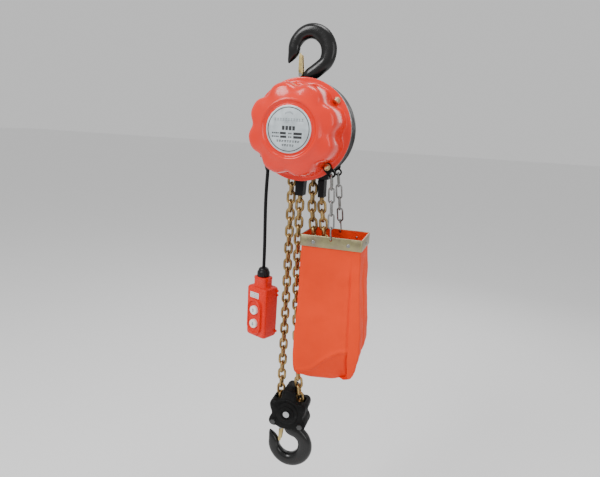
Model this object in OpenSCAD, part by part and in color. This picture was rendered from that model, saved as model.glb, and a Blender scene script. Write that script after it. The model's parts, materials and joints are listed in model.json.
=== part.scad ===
// Two-fall electric chain hoist with chain bag and two-button pendant.
// Origin at the centre of the top hook's bowl, +Z up, nameplate facing -Y, chain bag on +X.

/* [Layout] */
// Depth of the hoist's main axis below the top hook's bowl centre
axis_drop = 151; // [150:1:154]
// Depth of the hook block's sheave below the main axis
block_drop = 609.9; // [609.9]
// Height of the block sheave above the bottom hook's bowl centre
bottom_hook_drop = 92; // [90:1:94]

/* [Load chain] */
// Inside length of one load chain link
chain_pitch = 18; // [18:0.1:18.2]
// Wire diameter of the load chain, less its working slack
chain_wire = 5.7; // [5.4:0.1:5.8]
// Half width of a link on its wire's centreline
chain_half_width = 7; // [6.8:0.1:7]
// Distance of the vertical falls from the sheave's centre
fall_offset = 23.7; // [23.6:0.05:23.75]

/* [Frame] */
// Radius of the black frame casting
frame_r = 96.5; // [95:0.5:97]
// Front face of the frame casting, measured back from the chain plane
frame_front = -30; // [-31:1:-30]
// Rear face of the frame casting
frame_rear = 18; // [18:1:20]
// Wall of the frame casting
frame_wall = 5; // [4:0.5:6]

/* [Front cover] */
// Radius of the cover's flange
flange_r = 97.5; // [96:0.5:98]
// Mean radius of the lobed wall
lobe_r = 82; // [81:0.5:83]
// Height of a lobe above the mean radius
lobe_h = 4; // [3:0.5:4]
// Number of lobes round the cover
lobe_count = 8; // [8]
// Turn of the lobes and bolts from upright
cover_turn = -4.5; // [-6:0.5:0]
// Front of the cover's centre, measured from the chain plane
cover_front = -114; // [-116:1:-113]
// Wall thickness of the cover
cover_wall = 2.5; // [2:0.5:2.5]
// Radius of the bolt circle
bolt_circle_r = 87.5; // [87:0.5:88.5]
// Radius of the round nameplate
nameplate_r = 42; // [40:0.5:42.5]

/* [Gears] */
// Tooth module of all the gears
tooth_module = 1.4; // [1.4]
// Teeth on each pinion
pinion_teeth = 10; // [10]
// Teeth on each large gear
wheel_teeth = 50; // [50]

/* [Motor] */
// Radius over the motor's cooling ribs
motor_r = 70; // [68:1:71]
// Rear end of the motor housing
motor_rear = 122; // [118:1:126]
// Rear end of the fan cowl
cowl_rear = 152; // [148:1:156]

/* [Control box] */
// Distance of the box's outer face from the main axis
box_left = 102; // [100:1:103]
// Half height of the box
box_half_h = 60; // [56:1:62]
// Front of the box
box_front = 18; // [18:1:19]
// Rear of the box
box_rear = 98; // [92:1:102]

/* [Hooks] */
// Scale of the bottom hook compared with the top hook
bottom_hook_scale = 1.06; // [1:0.01:1.08]
// Radius of the hooks' round shanks
shank_r = 12; // [11.5:0.1:12]

/* [Hook block] */
// Half depth of the cast hook block
block_half_y = 29; // [28:0.5:31]
// Radius of the rounded block body
block_r = 34.5; // [34:0.5:36]

/* [Chain bag] */
// Centre of the bag's steel rim, to the right of the main axis
bag_x = 76; // [76:0.5:78]
// Width of the rim
rim_w = 124; // [122:1:125]
// Depth of the rim from front to back
rim_d = 94; // [90:1:98]
// Height of the rim's strip
rim_h = 23; // [20:1:25]
// Top of the rim below the main axis
rim_drop = 200; // [198:1:204]
// Depth of the bag below the rim's top
bag_depth = 304; // [296:1:310]
// Thickness of the bag's cloth as a solid
bag_wall = 2; // [1.5:0.1:2.5]

/* [Pendant] */
// Diameter of the pendant's cable
cable_d = 7.5; // [7:0.1:8]
// Width of the pendant's case
pendant_w = 58; // [56:1:60]
// Depth of the pendant's case
pendant_d = 44; // [42:1:46]
// Height of the pendant's case
pendant_h = 118; // [116:1:122]
// Turn of the pendant about its cable
pendant_yaw = -23.5; // [-30:0.5:0]
// Diameter of a push button
button_d = 20; // [18:0.5:21]
// Distance between the two buttons
button_gap = 32; // [31:0.5:33]
// Width of the raised oval round the buttons
bezel_w = 40; // [38:1:42]
// Height of the raised oval round the buttons
bezel_h = 82; // [78:1:84]

/* [Hidden] */
$fn = 48;
axis_z = -axis_drop;
block_z = axis_z - block_drop;
bottom_hook_z = block_z - bottom_hook_drop;
chain_r = chain_wire / 2;
link_tip = chain_pitch / 2 + 3;                    // link centre to the wire's centre at its end
flat_r = 20.5;                                     // flat links' distance from a sheave's centre
upright_r = 23;                                    // upright links' distance from a sheave's centre
phase = 19.6;                                      // height angle of the live fall's last link on the sheave
rim_top = axis_z - rim_drop;
gear_offset = tooth_module * (pinion_teeth + wheel_teeth) / 2;
gear_angle = 18;                                   // direction of the first disc gear's shaft
cable_x = -91;
cable_y = 38;
cable_top = axis_z - 88;
pendant_top = -498;
pendant_mid = pendant_top - pendant_h / 2;
gland_top = -455;
boss_h = 17.5;                                     // hook boss inside the frame's top
top_latch_at = [-15.6, 0, -47];
bottom_latch_at = [-17.5, 0, bottom_hook_z + 42];
latch_lean = 1;                                    // lean of the bottom latch towards the hook's tip
block_bottom = -40;
collar_top = block_z - 34.2;                       // top of the bottom hook's shank
bag_hinge_x = 67;
bag_hinge_z = axis_z - 79;
box_depth = box_rear - box_front;
split_y = pendant_d / 2 - 9;                       // joint between the pendant's case and back cover
half_w = rim_w / 2 - 2.2;
half_d = rim_d / 2 - 2.2;
// Bag sections: [depth, left, right, front, back, corner radius].
bag_sections = [[0, bag_x - half_w, bag_x + half_w, -half_d, half_d, 3],
    [24, bag_x - half_w, bag_x + half_w, -half_d, half_d, 3],
    [95, bag_x - half_w, bag_x + half_w + 5, -half_d - 3, half_d + 4, 7],
    [185, bag_x - half_w + 0.5, bag_x + half_w + 13, -half_d - 7, half_d + 7, 10],
    [250, bag_x - half_w + 3, bag_x + half_w + 14, -half_d - 6, half_d + 4, 12],
    [285, bag_x - half_w + 6, bag_x + half_w + 9, -half_d, half_d - 4, 14],
    [bag_depth, bag_x - half_w + 24, bag_x + half_w - 12, -half_d + 22, half_d - 24, 12]];
first_flat_z = axis_z - 9.9;                       // first link that hangs free of the load sheave
cable_route = [[-91, 38, -239], [-91.2, 38, -248], [-91.8, 38.2, -260], [-92.4, 38.5, -273],
    [-92.9, 38.9, -286], [-93.2, 39.2, -300], [-93.3, 39.5, -314], [-93.3, 39.7, -328],
    [-93.1, 39.8, -342], [-92.8, 39.8, -356], [-92.4, 39.6, -370], [-92, 39.3, -384],
    [-91.6, 39, -398], [-91.3, 38.6, -412], [-91.1, 38.3, -426], [-91, 38.1, -440],
    [-91, 38, -455]];

// ---- helpers ----

// Places a shape drawn in XY, extruded upwards, so that it stands in XZ and grows towards the front.
module toward_front(y = 0, z = axis_z) { translate([0, y, z]) rotate([90, 0, 0]) children(); }

// A ring of the given radii, from y_back forwards over the given length.
module ring_y(r_out, r_in, y_back, length, z = axis_z) {
    toward_front(y_back, z) difference() {
        cylinder(r = r_out, h = length);
        if (r_in > 0) translate([0, 0, -1]) cylinder(r = r_in, h = length + 2);
    }
}

// Closed solid through equal rings of points, each counter-clockwise seen from the last ring.
module loft(rings) {
    n = len(rings[0]);
    last = len(rings) - 1;
    points = [for (ring = rings) each ring];
    sides = [for (i = [0:last - 1], k = [0:n - 1])
        let (a = i * n + k, b = i * n + (k + 1) % n)
        each [[a, a + n, b + n], [a, b + n, b]]];
    bottom = [[for (k = [0:n - 1]) k]];
    top = [[for (k = [n - 1:-1:0]) last * n + k]];
    polyhedron(points, concat(sides, bottom, top), convexity = 6);
}

// One chain link lying in XZ, long along Z, centred on the origin.
module link(half_len, half_w, wire_r) {
    straight = half_len - half_w;
    for (s = [-1, 1]) {
        translate([s * half_w, 0, -straight]) cylinder(r = wire_r, h = 2 * straight, $fn = 24);
        translate([0, 0, s * straight]) rotate([90, s > 0 ? 0 : 180, 0])
            rotate_extrude(angle = 180, $fn = 24) translate([half_w, 0]) circle(r = wire_r, $fn = 24);
    }
}
module load_link(upright = true) {
    rotate([0, 0, upright ? 0 : 90]) link(link_tip, chain_half_width, chain_r);
}

// A link on a sheave, at the given angle from +X in the XZ plane.
module link_on_sheave(angle, upright, z) {
    r = upright ? upright_r : flat_r;
    translate([r * cos(angle), 0, z + r * sin(angle)]) rotate([0, -angle, 0]) load_link(upright);
}

// Lobed outline of the cover, grown by d.
module lobed(d = 0) {
    polygon([for (a = [0:3:357])
        let (r = lobe_r + d + lobe_h * cos(lobe_count * (a - cover_turn) - 180))
        [r * cos(a), r * sin(a)]]);
}

module rounded_box(size, r) {
    translate([0, 0, -size[2] / 2]) linear_extrude(size[2])
        union() {
            square([size[0] - 2 * r, size[1]], center = true);
            square([size[0], size[1] - 2 * r], center = true);
            for (x = [-1, 1], y = [-1, 1])
                translate([x * (size[0] / 2 - r), y * (size[1] / 2 - r)]) circle(r = r);
        }
}

// Spur gear with straight-sided teeth, a tooth centred on angle zero.
module gear(teeth, width, bore_r) {
    root = tooth_module * (teeth / 2 - 1.2);
    tip = tooth_module * (teeth / 2 + 0.85);
    step = 360 / teeth;
    difference() {
        linear_extrude(width) polygon([for (i = [0:teeth - 1],
            c = [[root, -0.29], [tip, -0.1], [tip, 0.1], [root, 0.29]])
            [c[0] * cos((i + c[1]) * step), c[0] * sin((i + c[1]) * step)]]);
        translate([0, 0, -1]) cylinder(r = bore_r, h = width + 2);
    }
}

// ---- front cover ----

// Solid of revolution that rounds the cover's front; back is where it starts, d moves its face back.
module cover_front_profile(d, back) {
    front = -cover_front - d;
    toward_front() rotate_extrude($fn = 96) polygon([[0, -back], [120, -back], [120, front - 44],
        [lobe_r + 10, front - 26], [lobe_r + 1, front - 13], [lobe_r - 6, front - 8], [64, front - 3],
        [54, front], [51, front], [48, front - 3.5], [44, front - 3.5], [43, front - 1], [0, front - 1]]);
}

module front_cover() {
    color("#e8391f") difference() {
        union() {
            toward_front(-33) cylinder(r = flange_r, h = 3, $fn = 96);
            intersection() {
                toward_front(-33) linear_extrude(90) lobed();
                cover_front_profile(0, -33);
            }
        }
        intersection() {
            toward_front(-32) linear_extrude(90) lobed(-cover_wall);
            cover_front_profile(cover_wall, -32);
        }
        for (a = [45:90:315]) toward_front(-32)
            rotate([0, 0, a + cover_turn]) translate([bolt_circle_r, 0, -1]) cylinder(r = 3.3, h = 8);
    }
}

module nameplate() {
    color("silver") ring_y(nameplate_r, 0, cover_front + 1, 1);
}

module cover_bolts() {
    color("#b08d4a") for (a = [45:90:315]) toward_front(0)
        rotate([0, 0, a + cover_turn]) translate([bolt_circle_r, 0, 0]) {
            translate([0, 0, 25]) cylinder(r = 3, h = 12);
            translate([0, 0, a == 315 ? 39.1 : 36]) cylinder(r = 6.4, h = 1);
            translate([0, 0, a == 315 ? 40.1 : 37]) cylinder(r = 5.6, h = 4, $fn = 6);
            translate([0, 0, a == 315 ? 44.1 : 41]) intersection() {
                cylinder(r = 4.6, h = 5);
                sphere(r = 4.6);
            }
            if (a == 315) translate([0, 0, 36.5]) cylinder(r = 3, h = 3);
        }
}

module bag_lug_front() {
    a = 315 + cover_turn;
    bx = bolt_circle_r * cos(a);
    bz = bolt_circle_r * sin(a);
    color("#151515") toward_front(-36.1) difference() {
        union() {
            translate([bx, bz]) cylinder(r = 8.6, h = 3);
            hull() {
                translate([bx, bz - 2]) cylinder(r = 7.6, h = 3);
                translate([bag_hinge_x, bag_hinge_z - axis_z]) cylinder(r = 7.5, h = 3);
            }
        }
        translate([bx, bz, -1]) cylinder(r = 3.3, h = 6);
        translate([bag_hinge_x, bag_hinge_z - axis_z, -1]) cylinder(r = 3.9, h = 6);
    }
}

module bag_lug_rear() {
    color("#151515") toward_front(frame_rear + 3.1) difference() {
        union() {
            translate([62, -68]) cylinder(r = 9, h = 3);
            translate([bag_hinge_x, bag_hinge_z - axis_z]) cylinder(r = 7.5, h = 3);
        }
        translate([bag_hinge_x, bag_hinge_z - axis_z, -1]) cylinder(r = 4.4, h = 6);
    }
}

// ---- frame ----

module gear_plate() {
    color("#b9bcc0") toward_front(frame_front) difference() {
        cylinder(r = flange_r + 0.3, h = 3, $fn = 96);
        translate([0, 0, -1]) cylinder(r = 20.2, h = 5);
        for (s = [0, 180]) rotate([0, 0, gear_angle + s]) translate([gear_offset, 0, -1])
            cylinder(r = 5.06, h = 5);
        for (a = [45:90:315]) rotate([0, 0, a + cover_turn]) translate([bolt_circle_r, 0, -1])
            cylinder(r = 3.05, h = 5);
    }
}

module frame() {
    length = frame_rear - frame_front;
    color("#1b1b1d") difference() {
        union() {
            ring_y(frame_r, frame_r - frame_wall, frame_rear, length);
            ring_y(frame_r - 1, 30.1, frame_rear, 5);
            for (a = [45:90:315]) toward_front(frame_rear - 4) rotate([0, 0, a + cover_turn])
                translate([bolt_circle_r, 0, 0]) cylinder(r = 7, h = length - 4);
            translate([-28, frame_front, axis_z + frame_r - boss_h]) cube([56, length - 1, boss_h - 3]);
        }
        translate([0, 0, axis_z + frame_r - boss_h - 1]) cylinder(r = shank_r + 0.08, h = boss_h + 3);
        translate([-36.5, -14.5, axis_z - frame_r - 2]) cube([91, 29, 25.5]);
        for (a = [45:90:315]) toward_front(0) rotate([0, 0, a + cover_turn])
            translate([bolt_circle_r, 0, 24]) cylinder(r = 3.05, h = 8);
        translate([0, 0, axis_z + frame_r - boss_h - 18]) cylinder(r = 16.8, h = 18);
    }
}

// Slotted block that keeps the falls in line as they leave the frame.
module chain_guide() {
    low = axis_z - 93;
    color("#202022") difference() {
        translate([-36.5, -14.5, low]) cube([91, 29, 20]);
        for (x = [-fall_offset, 22]) translate([x, 0, low - 1]) cylinder(r = 11, h = 22);
        // [left edge, width] of the two slots that the boots and the tail fall pass through.
        for (slot = [[-13.5, 19.2], [33.2, 14]])
            translate([slot[0], -12.5, low - 1]) cube([slot[1], 25, 22]);
        toward_front(14, axis_z) cylinder(r = 83, h = 28);
    }
}

// Black boots that hold the chain's two anchored ends.
module chain_end_boots() {
    top = axis_z - 86;
    for (b = [[-3.9, 18, 15.6, -4.3], [40.2, 13, 11.4, 41.3]])
        color("#101010") difference() {
            hull() {
                translate([b[0] - b[1] / 2 + 2, -8, top - 1]) cube([b[1] - 4, 16, 1]);
                translate([b[0] - b[1] / 2, -12, top - 12.5]) cube([b[1], 24, 1]);
                translate([b[3] - b[2] / 2, -12.5, top - 43.5]) cube([b[2], 25, 1]);
            }
            translate([b[3] - 4, -10.9, top - 60]) cube([8, 21.8, 36]);
            translate([b[3] - 20, 0, top - 39.6]) rotate([0, 90, 0]) cylinder(r = 2.2, h = 40);
        }
    color("silver") for (b = [[-4.3, 15.6], [41.3, 11]])
        translate([b[0] - b[1] / 2, 0, top - 39.6]) rotate([0, 90, 0]) cylinder(r = 2.15, h = b[1]);
}

module sheave_bearings() {
    color("#c9cccf") {
        ring_y(30, 20.08, frame_rear - 0.5, 4);
        ring_y(26, 20.08, -20.5, 9.5);
    }
}

module top_thrust_bearing() {
    color("#c9cccf") translate([0, 0, axis_z + frame_r - boss_h - 4.2]) difference() {
        cylinder(r = 16.5, h = 4);
        translate([0, 0, -1]) cylinder(r = shank_r + 0.4, h = 6);
    }
}

// ---- gear train ----

module gear_bridge() {
    color("#8f9398") toward_front(-65) difference() {
        union() {
            cylinder(r = 16, h = 4);
            rotate([0, 0, gear_angle]) translate([-56, -11, 0]) cube([112, 22, 4]);
            for (s = [90, 270]) rotate([0, 0, gear_angle]) {
                translate([-9, s == 90 ? 0 : -64, 0]) cube([18, 64, 4]);
                rotate([0, 0, s]) translate([60, 0, -32]) cylinder(r = 5, h = 34);
            }
        }
        translate([0, 0, -1]) cylinder(r = 5.08, h = 6);
        for (s = [0, 180]) rotate([0, 0, gear_angle + s]) translate([gear_offset, 0, -1])
            cylinder(r = 5.06, h = 6);
    }
}

module load_gear() {
    color("#9a9da1") toward_front(-38.5) rotate([0, 0, gear_angle]) gear(wheel_teeth, 9, 16.02);
}

// Large gear, its pinion and the short shaft that they share.
module disc_gear(side) {
    a = gear_angle + side;
    color("#a5a8ac") toward_front(0) rotate([0, 0, a]) translate([gear_offset, 0, 0]) {
        rotate([0, 0, -a]) {
            translate([0, 0, 30.3]) cylinder(r = 5, h = 38.5);
            translate([0, 0, 37.5]) rotate([0, 0, a + 180 - 180 / pinion_teeth])
                gear(pinion_teeth, 12, 4.5);
            translate([0, 0, 52]) rotate([0, 0, a + 180 - 180 / wheel_teeth])
                gear(wheel_teeth, 7, 4.5);
        }
    }
}
module disc_gear_right() { disc_gear(0); }
module disc_gear_left() { disc_gear(180); }

module drive_shaft() {
    color("#b4b7ba") toward_front(0) {
        translate([0, 0, -cowl_rear + 8]) cylinder(r = 5, h = cowl_rear - 8 + 98);
        translate([0, 0, 51]) rotate([0, 0, gear_angle]) gear(pinion_teeth, 9, 4.5);
    }
}

module load_sheave() {
    color("#7d8084") difference() {
        union() {
            ring_y(20, 5.4, frame_rear - 0.2, 54.5);
            toward_front(13) rotate_extrude() polygon([[18, 0], [31, 0], [31, 2.6], [27.5, 2.8],
                [27.5, 9], [12, 9], [12, 17], [27.5, 17], [27.5, 23.2], [31, 23.4], [31, 26], [18, 26]]);
            ring_y(16, 5.4, -36, 12);
        }
        toward_front(4) rotate_extrude() translate([12.2, 0]) square([30, 8]);
        for (k = [0:3]) toward_front(10.6) rotate([0, 0, 180 - phase - 45 + 90 * k])
            translate([flat_r - chain_r - 0.3, -15.6, 0]) cube([20, 31.2, 21.2]);
    }
}

// Links lying over the load sheave and down to the mouth of the frame on the live side.
module sheave_chain() {
    color("#a07c3c") {
        for (i = [0:4]) link_on_sheave(180 - phase - 45 * i, i % 2 == 0, axis_z);
        for (i = [0:3]) translate([-fall_offset, 0, first_flat_z - 18 * i]) load_link(i % 2 == 1);
    }
}

// ---- brake and motor ----

module brake_disc() {
    color("#6b4a35") ring_y(38, 5.02, -71, 5);
}

module brake_magnet() {
    color("#55595e") toward_front(-77) difference() {
        union() {
            cylinder(r = 44, h = 20);
            for (s = [90, 270]) rotate([0, 0, gear_angle + s]) translate([46, 0, -8]) cylinder(r = 5, h = 28);
        }
        translate([0, 0, -1]) cylinder(r = 8, h = 24);
        for (s = [90, 270]) rotate([0, 0, gear_angle + s]) translate([46, 0, -9]) cylinder(r = 2.2, h = 32);
    }
}

module motor_housing() {
    length = motor_rear - frame_rear - 0.3;
    color("#1d1d1f") toward_front(motor_rear) difference() {
        union() {
            cylinder(r = motor_r - 6, h = length);
            for (a = [0:12:348]) rotate([0, 0, a]) translate([motor_r - 8, -1.1, 0])
                cube([8, 2.2, length - 12]);
            translate([0, 0, length - 8]) cylinder(r = motor_r + 6, h = 8);
        }
        translate([0, 0, -1]) cylinder(r = motor_r - 11, h = length - 4);
        translate([0, 0, -1]) cylinder(r = 6, h = length + 4);
    }
}

module stator() {
    color("#7a5a3a") ring_y(motor_r - 11.05, 33.5, motor_rear - 14, 70);
}

module rotor() {
    color("#8d9094") ring_y(33, 5.02, motor_rear - 16, 66);
}

module motor_end_cover() {
    color("#1d1d1f") toward_front(motor_rear + 6) difference() {
        union() {
            cylinder(r = motor_r - 6, h = 6);
            cylinder(r = motor_r - 11.1, h = 9);
        }
        translate([0, 0, -1]) cylinder(r = 5.08, h = 12);
    }
}

module cooling_fan() {
    color("#2c2c2e") toward_front(cowl_rear - 9) {
        difference() {
            cylinder(r = 14, h = 12);
            translate([0, 0, -1]) cylinder(r = 5.02, h = 14);
        }
        for (a = [0:60:300]) rotate([0, 0, a]) translate([13, -1.2, 1]) cube([42, 2.4, 10]);
    }
}

module fan_cowl() {
    length = cowl_rear - motor_rear - 1;
    color("#1a1a1c") toward_front(cowl_rear) difference() {
        cylinder(r = motor_r - 3.5, h = length);
        translate([0, 0, 2]) cylinder(r = motor_r - 5.95, h = length);
        for (r = [22, 34, 46], a = [0:30:330]) rotate([0, 0, a + r]) translate([r, 0, -1])
            cylinder(r = r / 9, h = 4);
        translate([0, 0, -1]) cylinder(r = 5, h = 4);
    }
}

// ---- control box ----

module control_box() {
    right = -58;
    color("#222225") difference() {
        translate([-box_left + 3, box_front, axis_z - box_half_h])
            cube([box_left - 3 + right, box_depth, 2 * box_half_h]);
        translate([-box_left, box_front + 3, axis_z - box_half_h + 3])
            cube([box_left - 76, box_depth - 6, 2 * box_half_h - 6]);
        toward_front(box_rear + 1) cylinder(r = motor_r + 6.5, h = box_depth + 3);
        for (y = [cable_y, cable_y + 36]) translate([cable_x, y, axis_z - box_half_h - 1])
            cylinder(r = 8.05, h = 5);
    }
}

module control_box_lid() {
    color("#27272a") translate([-box_left, box_front, axis_z - box_half_h])
        cube([2.9, box_depth, 2 * box_half_h]);
    color("silver") for (y = [box_front + 8, box_rear - 8], z = [-1, 1])
        translate([-box_left - 1.6, y, axis_z + z * (box_half_h - 8)]) rotate([0, 90, 0])
            cylinder(r = 3, h = 1.6);
}

// Up and down contactors with a terminal strip below them.
module contactors() {
    color("#d8d4c8") for (y = [box_front + 8, box_front + 38])
        translate([-96.8, y, axis_z - 4]) cube([18, 26, 50]);
    color("#3f6b4a") translate([-96.8, box_front + 8, axis_z - 42]) cube([12, 56, 10]);
}

// Threaded body, hexagon and nut of a cable gland, along Z with its seat at the origin.
module gland_body(hole_r) {
    difference() {
        union() {
            translate([0, 0, -1]) cylinder(r = 8, h = 10);
            translate([0, 0, -6]) cylinder(r = 12, h = 6, $fn = 6);
            translate([0, 0, -15]) cylinder(r = 10, h = 9.5);
        }
        translate([0, 0, -40]) cylinder(r = hole_r, h = 60);
    }
}

module cable_gland() {
    seat = axis_z - box_half_h;
    color("#141414") translate([cable_x, cable_y, seat]) difference() {
        union() {
            gland_body(cable_d / 2);
            translate([0, 0, cable_top - seat]) cylinder(r1 = 5, r2 = 8.5, h = seat - 14.5 - cable_top);
        }
        translate([0, 0, -40]) cylinder(r = cable_d / 2, h = 60);
    }
}

module inlet_gland() {
    color("#141414") translate([cable_x, cable_y + 36, axis_z - box_half_h]) gland_body(5);
}

// ---- hooks ----

// Centreline stations of a hook that opens to -X, from the end of its neck: [x, z, half width,
// half thickness].
top_neck = [[0, -54.5, 10.6, 10.6], [0, -51.5, 11.6, 11.6], [2, -46.2, 12.6, 12.2], [11, -40, 13.4, 11.8]];
bottom_neck = [[0, -42, 10.8, 10.8], [0.5, -40.5, 11.4, 11.4], [4, -37.8, 12.6, 11.8],
    [12, -35.2, 13, 11.7]];
function hook_stations(neck) = concat(neck, [[20, -33, 13.4, 11.5]],
    [for (a = [-38:14.5:180]) let (r = lookup(a, [[-38, 38.6], [0, 37], [45, 35], [90, 34],
        [135, 32.5], [180, 32.7]]))
        [r * cos(a), r * sin(a), lookup(a, [[-38, 13.6], [0, 15.6], [45, 15.4], [90, 14],
            [135, 12.5], [180, 11.8]]), lookup(a, [[-38, 11.5], [90, 12], [180, 10]])]],
    [[-34.6, -7, 10.2, 9], [-37.6, -14, 7.4, 7.5], [-40.6, -20, 4.4, 5], [-43, -25.4, 1.4, 2]]);

// Hook swept along its stations with oval sections.
module hook_sweep(neck, k, up) {
    st = hook_stations(neck) * k;
    last = len(st) - 1;
    sides = 14;
    loft([for (i = [0:last])
        let (p = st[max(i - 1, 0)], q = st[min(i + 1, last)],
             d = [q[0] - p[0], q[1] - p[1]] / norm([q[0] - p[0], q[1] - p[1]]))
        [for (j = [0:sides - 1]) let (a = 360 * j / sides, w = st[i][2] * cos(a), t = st[i][3] * sin(a))
            up ? [st[i][0] + w * d[1], t, st[i][1] - w * d[0]]
               : [st[i][0] + w * d[1], -t, -(st[i][1] - w * d[0])]]]);
}

// Ear that carries a safety latch, reaching into the hook's neck on its right.
module latch_ear(reach) {
    translate([0, 3.5, 0]) rotate([90, 0, 0]) difference() {
        union() {
            cylinder(r = 4.2, h = 7);
            translate([0, -4.2, 0]) cube([reach, 8.4, 7]);
        }
        translate([0, 0, -1]) cylinder(r = 2.05, h = 9);
    }
}

module top_hook() {
    color("#0e0e0f") {
        hook_sweep(top_neck, 1, true);
        translate(top_latch_at) latch_ear(8);
        translate([0, 0, axis_z + frame_r - boss_h - 18]) cylinder(r = shank_r, h = 37);
    }
}

module top_hook_nut() {
    z = axis_z + frame_r - boss_h - 16.5;
    color("#8f9295") difference() {
        translate([0, 0, z]) cylinder(r = 16.5, h = 12, $fn = 6);
        translate([0, 0, z - 1]) cylinder(r = shank_r + 0.02, h = 14);
    }
}

// Sprung safety latch: a channel of bent strip, pivoted at the ear and closed against the tip.
module latch(len) {
    difference() {
        union() {
            for (s = [-1, 1]) translate([0, s * 5.2, 0]) rotate([90, 0, 0]) translate([0, 0, -0.75])
                hull() {
                    cylinder(r = 4.2, h = 1.5);
                    translate([-2, len - 4, 0]) cylinder(r = 3, h = 1.5);
                }
            translate([-5, -5.95, 6]) cube([1.5, 11.9, len - 9]);
            translate([-4.6, 0, len - 3.5]) rotate([0, 90, 0]) cylinder(r = 5.9, h = 1.5);
        }
        translate([0, 10, 0]) rotate([90, 0, 0]) cylinder(r = 2.1, h = 20);
    }
}

module latch_pin() {
    rotate([90, 0, 0]) translate([0, 0, -8]) {
        cylinder(r = 2, h = 16);
        for (z = [-0.8, 16]) translate([0, 0, z]) cylinder(r = 3.4, h = 0.8);
    }
}

module top_latch() { color("#9a7b3f") translate(top_latch_at) latch(39); }
module top_latch_pin() { color("silver") translate(top_latch_at) latch_pin(); }

module bottom_hook() {
    k = bottom_hook_scale;
    low = bottom_hook_z + 42 * k;
    color("#0e0e0f") {
        translate([0, 0, bottom_hook_z]) hook_sweep(bottom_neck, k, false);
        translate(bottom_latch_at) latch_ear(9);
        translate([0, 0, low - 1]) cylinder(r = shank_r, h = collar_top - low + 1);
        translate([0, 0, collar_top - 3]) cylinder(r = 16, h = 3);
    }
}

module bottom_latch() {
    color("#9a7b3f") translate(bottom_latch_at) rotate([0, latch_lean, 0]) mirror([0, 0, 1]) latch(36);
}
module bottom_latch_pin() { color("silver") translate(bottom_latch_at) latch_pin(); }

// ---- hook block ----

module block_outline() {
    circle(r = block_r);
    translate([-12, 0]) square([24, 43]);
    translate([0, 43]) circle(r = 12);
    for (s = [-1, 1]) {
        translate([s * 31, 16]) circle(r = 9);
        translate([s * 31, -26]) circle(r = 11);
        translate([s * 31 - 9, -26]) square([18, 42]);
    }
    translate([-20, block_bottom]) square([40, 30]);
}

// Front half of the cast block, from the split plane towards the front.
module block_half() {
    difference() {
        union() {
            translate([0, 0, 0.1]) linear_extrude(block_half_y - 3) block_outline();
            cylinder(r = 25, h = block_half_y);
            cylinder(r = 17, h = block_half_y + 2.5);
        }
        translate([0, 0, -1]) cylinder(r = 34, h = 14.5);
        translate([-34.3, 0, -1]) cube([21.2, 60, 12]);
        translate([8.2, 0, -1]) cube([26.1, 60, 12]);
        translate([0, 0, -1]) cylinder(r = 7.05, h = 40);
        for (s = [-1, 1]) translate([s * 31, -26, -1]) cylinder(r = 4.05, h = 40);
        rotate([90, 0, 0]) translate([0, 0, 30]) cylinder(r = shank_r + 0.08, h = 30);
        rotate([90, 0, 0]) translate([0, 0, 30]) cylinder(r = 16.4, h = 8);
    }
}
module block_front_half() { color("#111112") toward_front(0, block_z) block_half(); }
module block_rear_half() { color("#131314") mirror([0, 1, 0]) toward_front(0, block_z) block_half(); }

module block_bolts() {
    color("#2a2a2c") for (s = [-1, 1]) toward_front(block_half_y, block_z) translate([s * 31, -26, 0]) {
        cylinder(r = 4, h = 2 * block_half_y);
        for (z = [-1.1, 2 * block_half_y - 2.9]) translate([0, 0, z]) cylinder(r = 6.5, h = 4, $fn = 6);
    }
}

module block_axle() {
    color("#2f2f31") toward_front(block_half_y + 3, block_z) cylinder(r = 7, h = 2 * block_half_y + 6);
}

module block_sheave() {
    color("#6d7074") toward_front(13, block_z) rotate_extrude() polygon([[7.06, 0], [29.5, 0],
        [29.5, 2.6], [17.2, 2.8], [17.2, 9], [12.2, 9], [12.2, 17], [17.2, 17], [17.2, 23.2],
        [29.5, 23.4], [29.5, 26], [7.06, 26]]);
}

// ---- falls of chain ----

// Links 4 to 32 of the live fall hang free, and four more lie round the block's sheave.
module live_fall() {
    color("#a07c3c") {
        for (i = [4:32]) translate([-fall_offset, 0, first_flat_z - 18 * i]) load_link(i % 2 == 1);
        for (i = [0:3]) link_on_sheave(210.3 + 45 * i, i % 2 == 1, block_z);
    }
}

// A fall of links whose centres are listed from one end, each link in line with its neighbours.
module fall(centres, first_upright) {
    last = len(centres) - 1;
    color("#a07c3c") for (i = [0:last])
        let (d = centres[max(i - 1, 0)] - centres[min(i + 1, last)])
        translate(centres[i]) rotate([0, atan(d[0] / d[2]), 0])
            load_link((i % 2 == 0) == first_upright);
}

// The dead fall bows away from the live fall as it comes down to the block.
dead_links = 27;
function dead_centre(i) = let (drop = (dead_links - 1 - i) / (dead_links - 1))
    [-4.3 + (fall_offset + 3.1) * pow(drop, 2.4), 0, block_z + 12 + 17.9 * i];
module dead_fall() { fall([for (i = [0:dead_links - 1]) dead_centre(i)], false); }

// The slack fall leaves the load sheave and drops into the bag.
function slack_centre(i) = [19.5 + 0.73 * min(i, 3) + 2.4 * min(max(i - 7, 0), 3) + 0.4 * max(i - 10, 0), 0,
    axis_z - 25.2 - 17.9 * i];
module slack_fall() { fall([for (i = [0:19]) slack_centre(i)], false); }

// The tail of the chain hangs from its anchor and leans away as it enters the bag.
function tail_centre(i) = [41.3 + 18 * i * i / (i * i + 14), 0, axis_z - 132 - 17.6 * i];
module tail_fall() { fall([for (i = [0:14]) tail_centre(i)], false); }

// ---- chain bag ----

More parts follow.
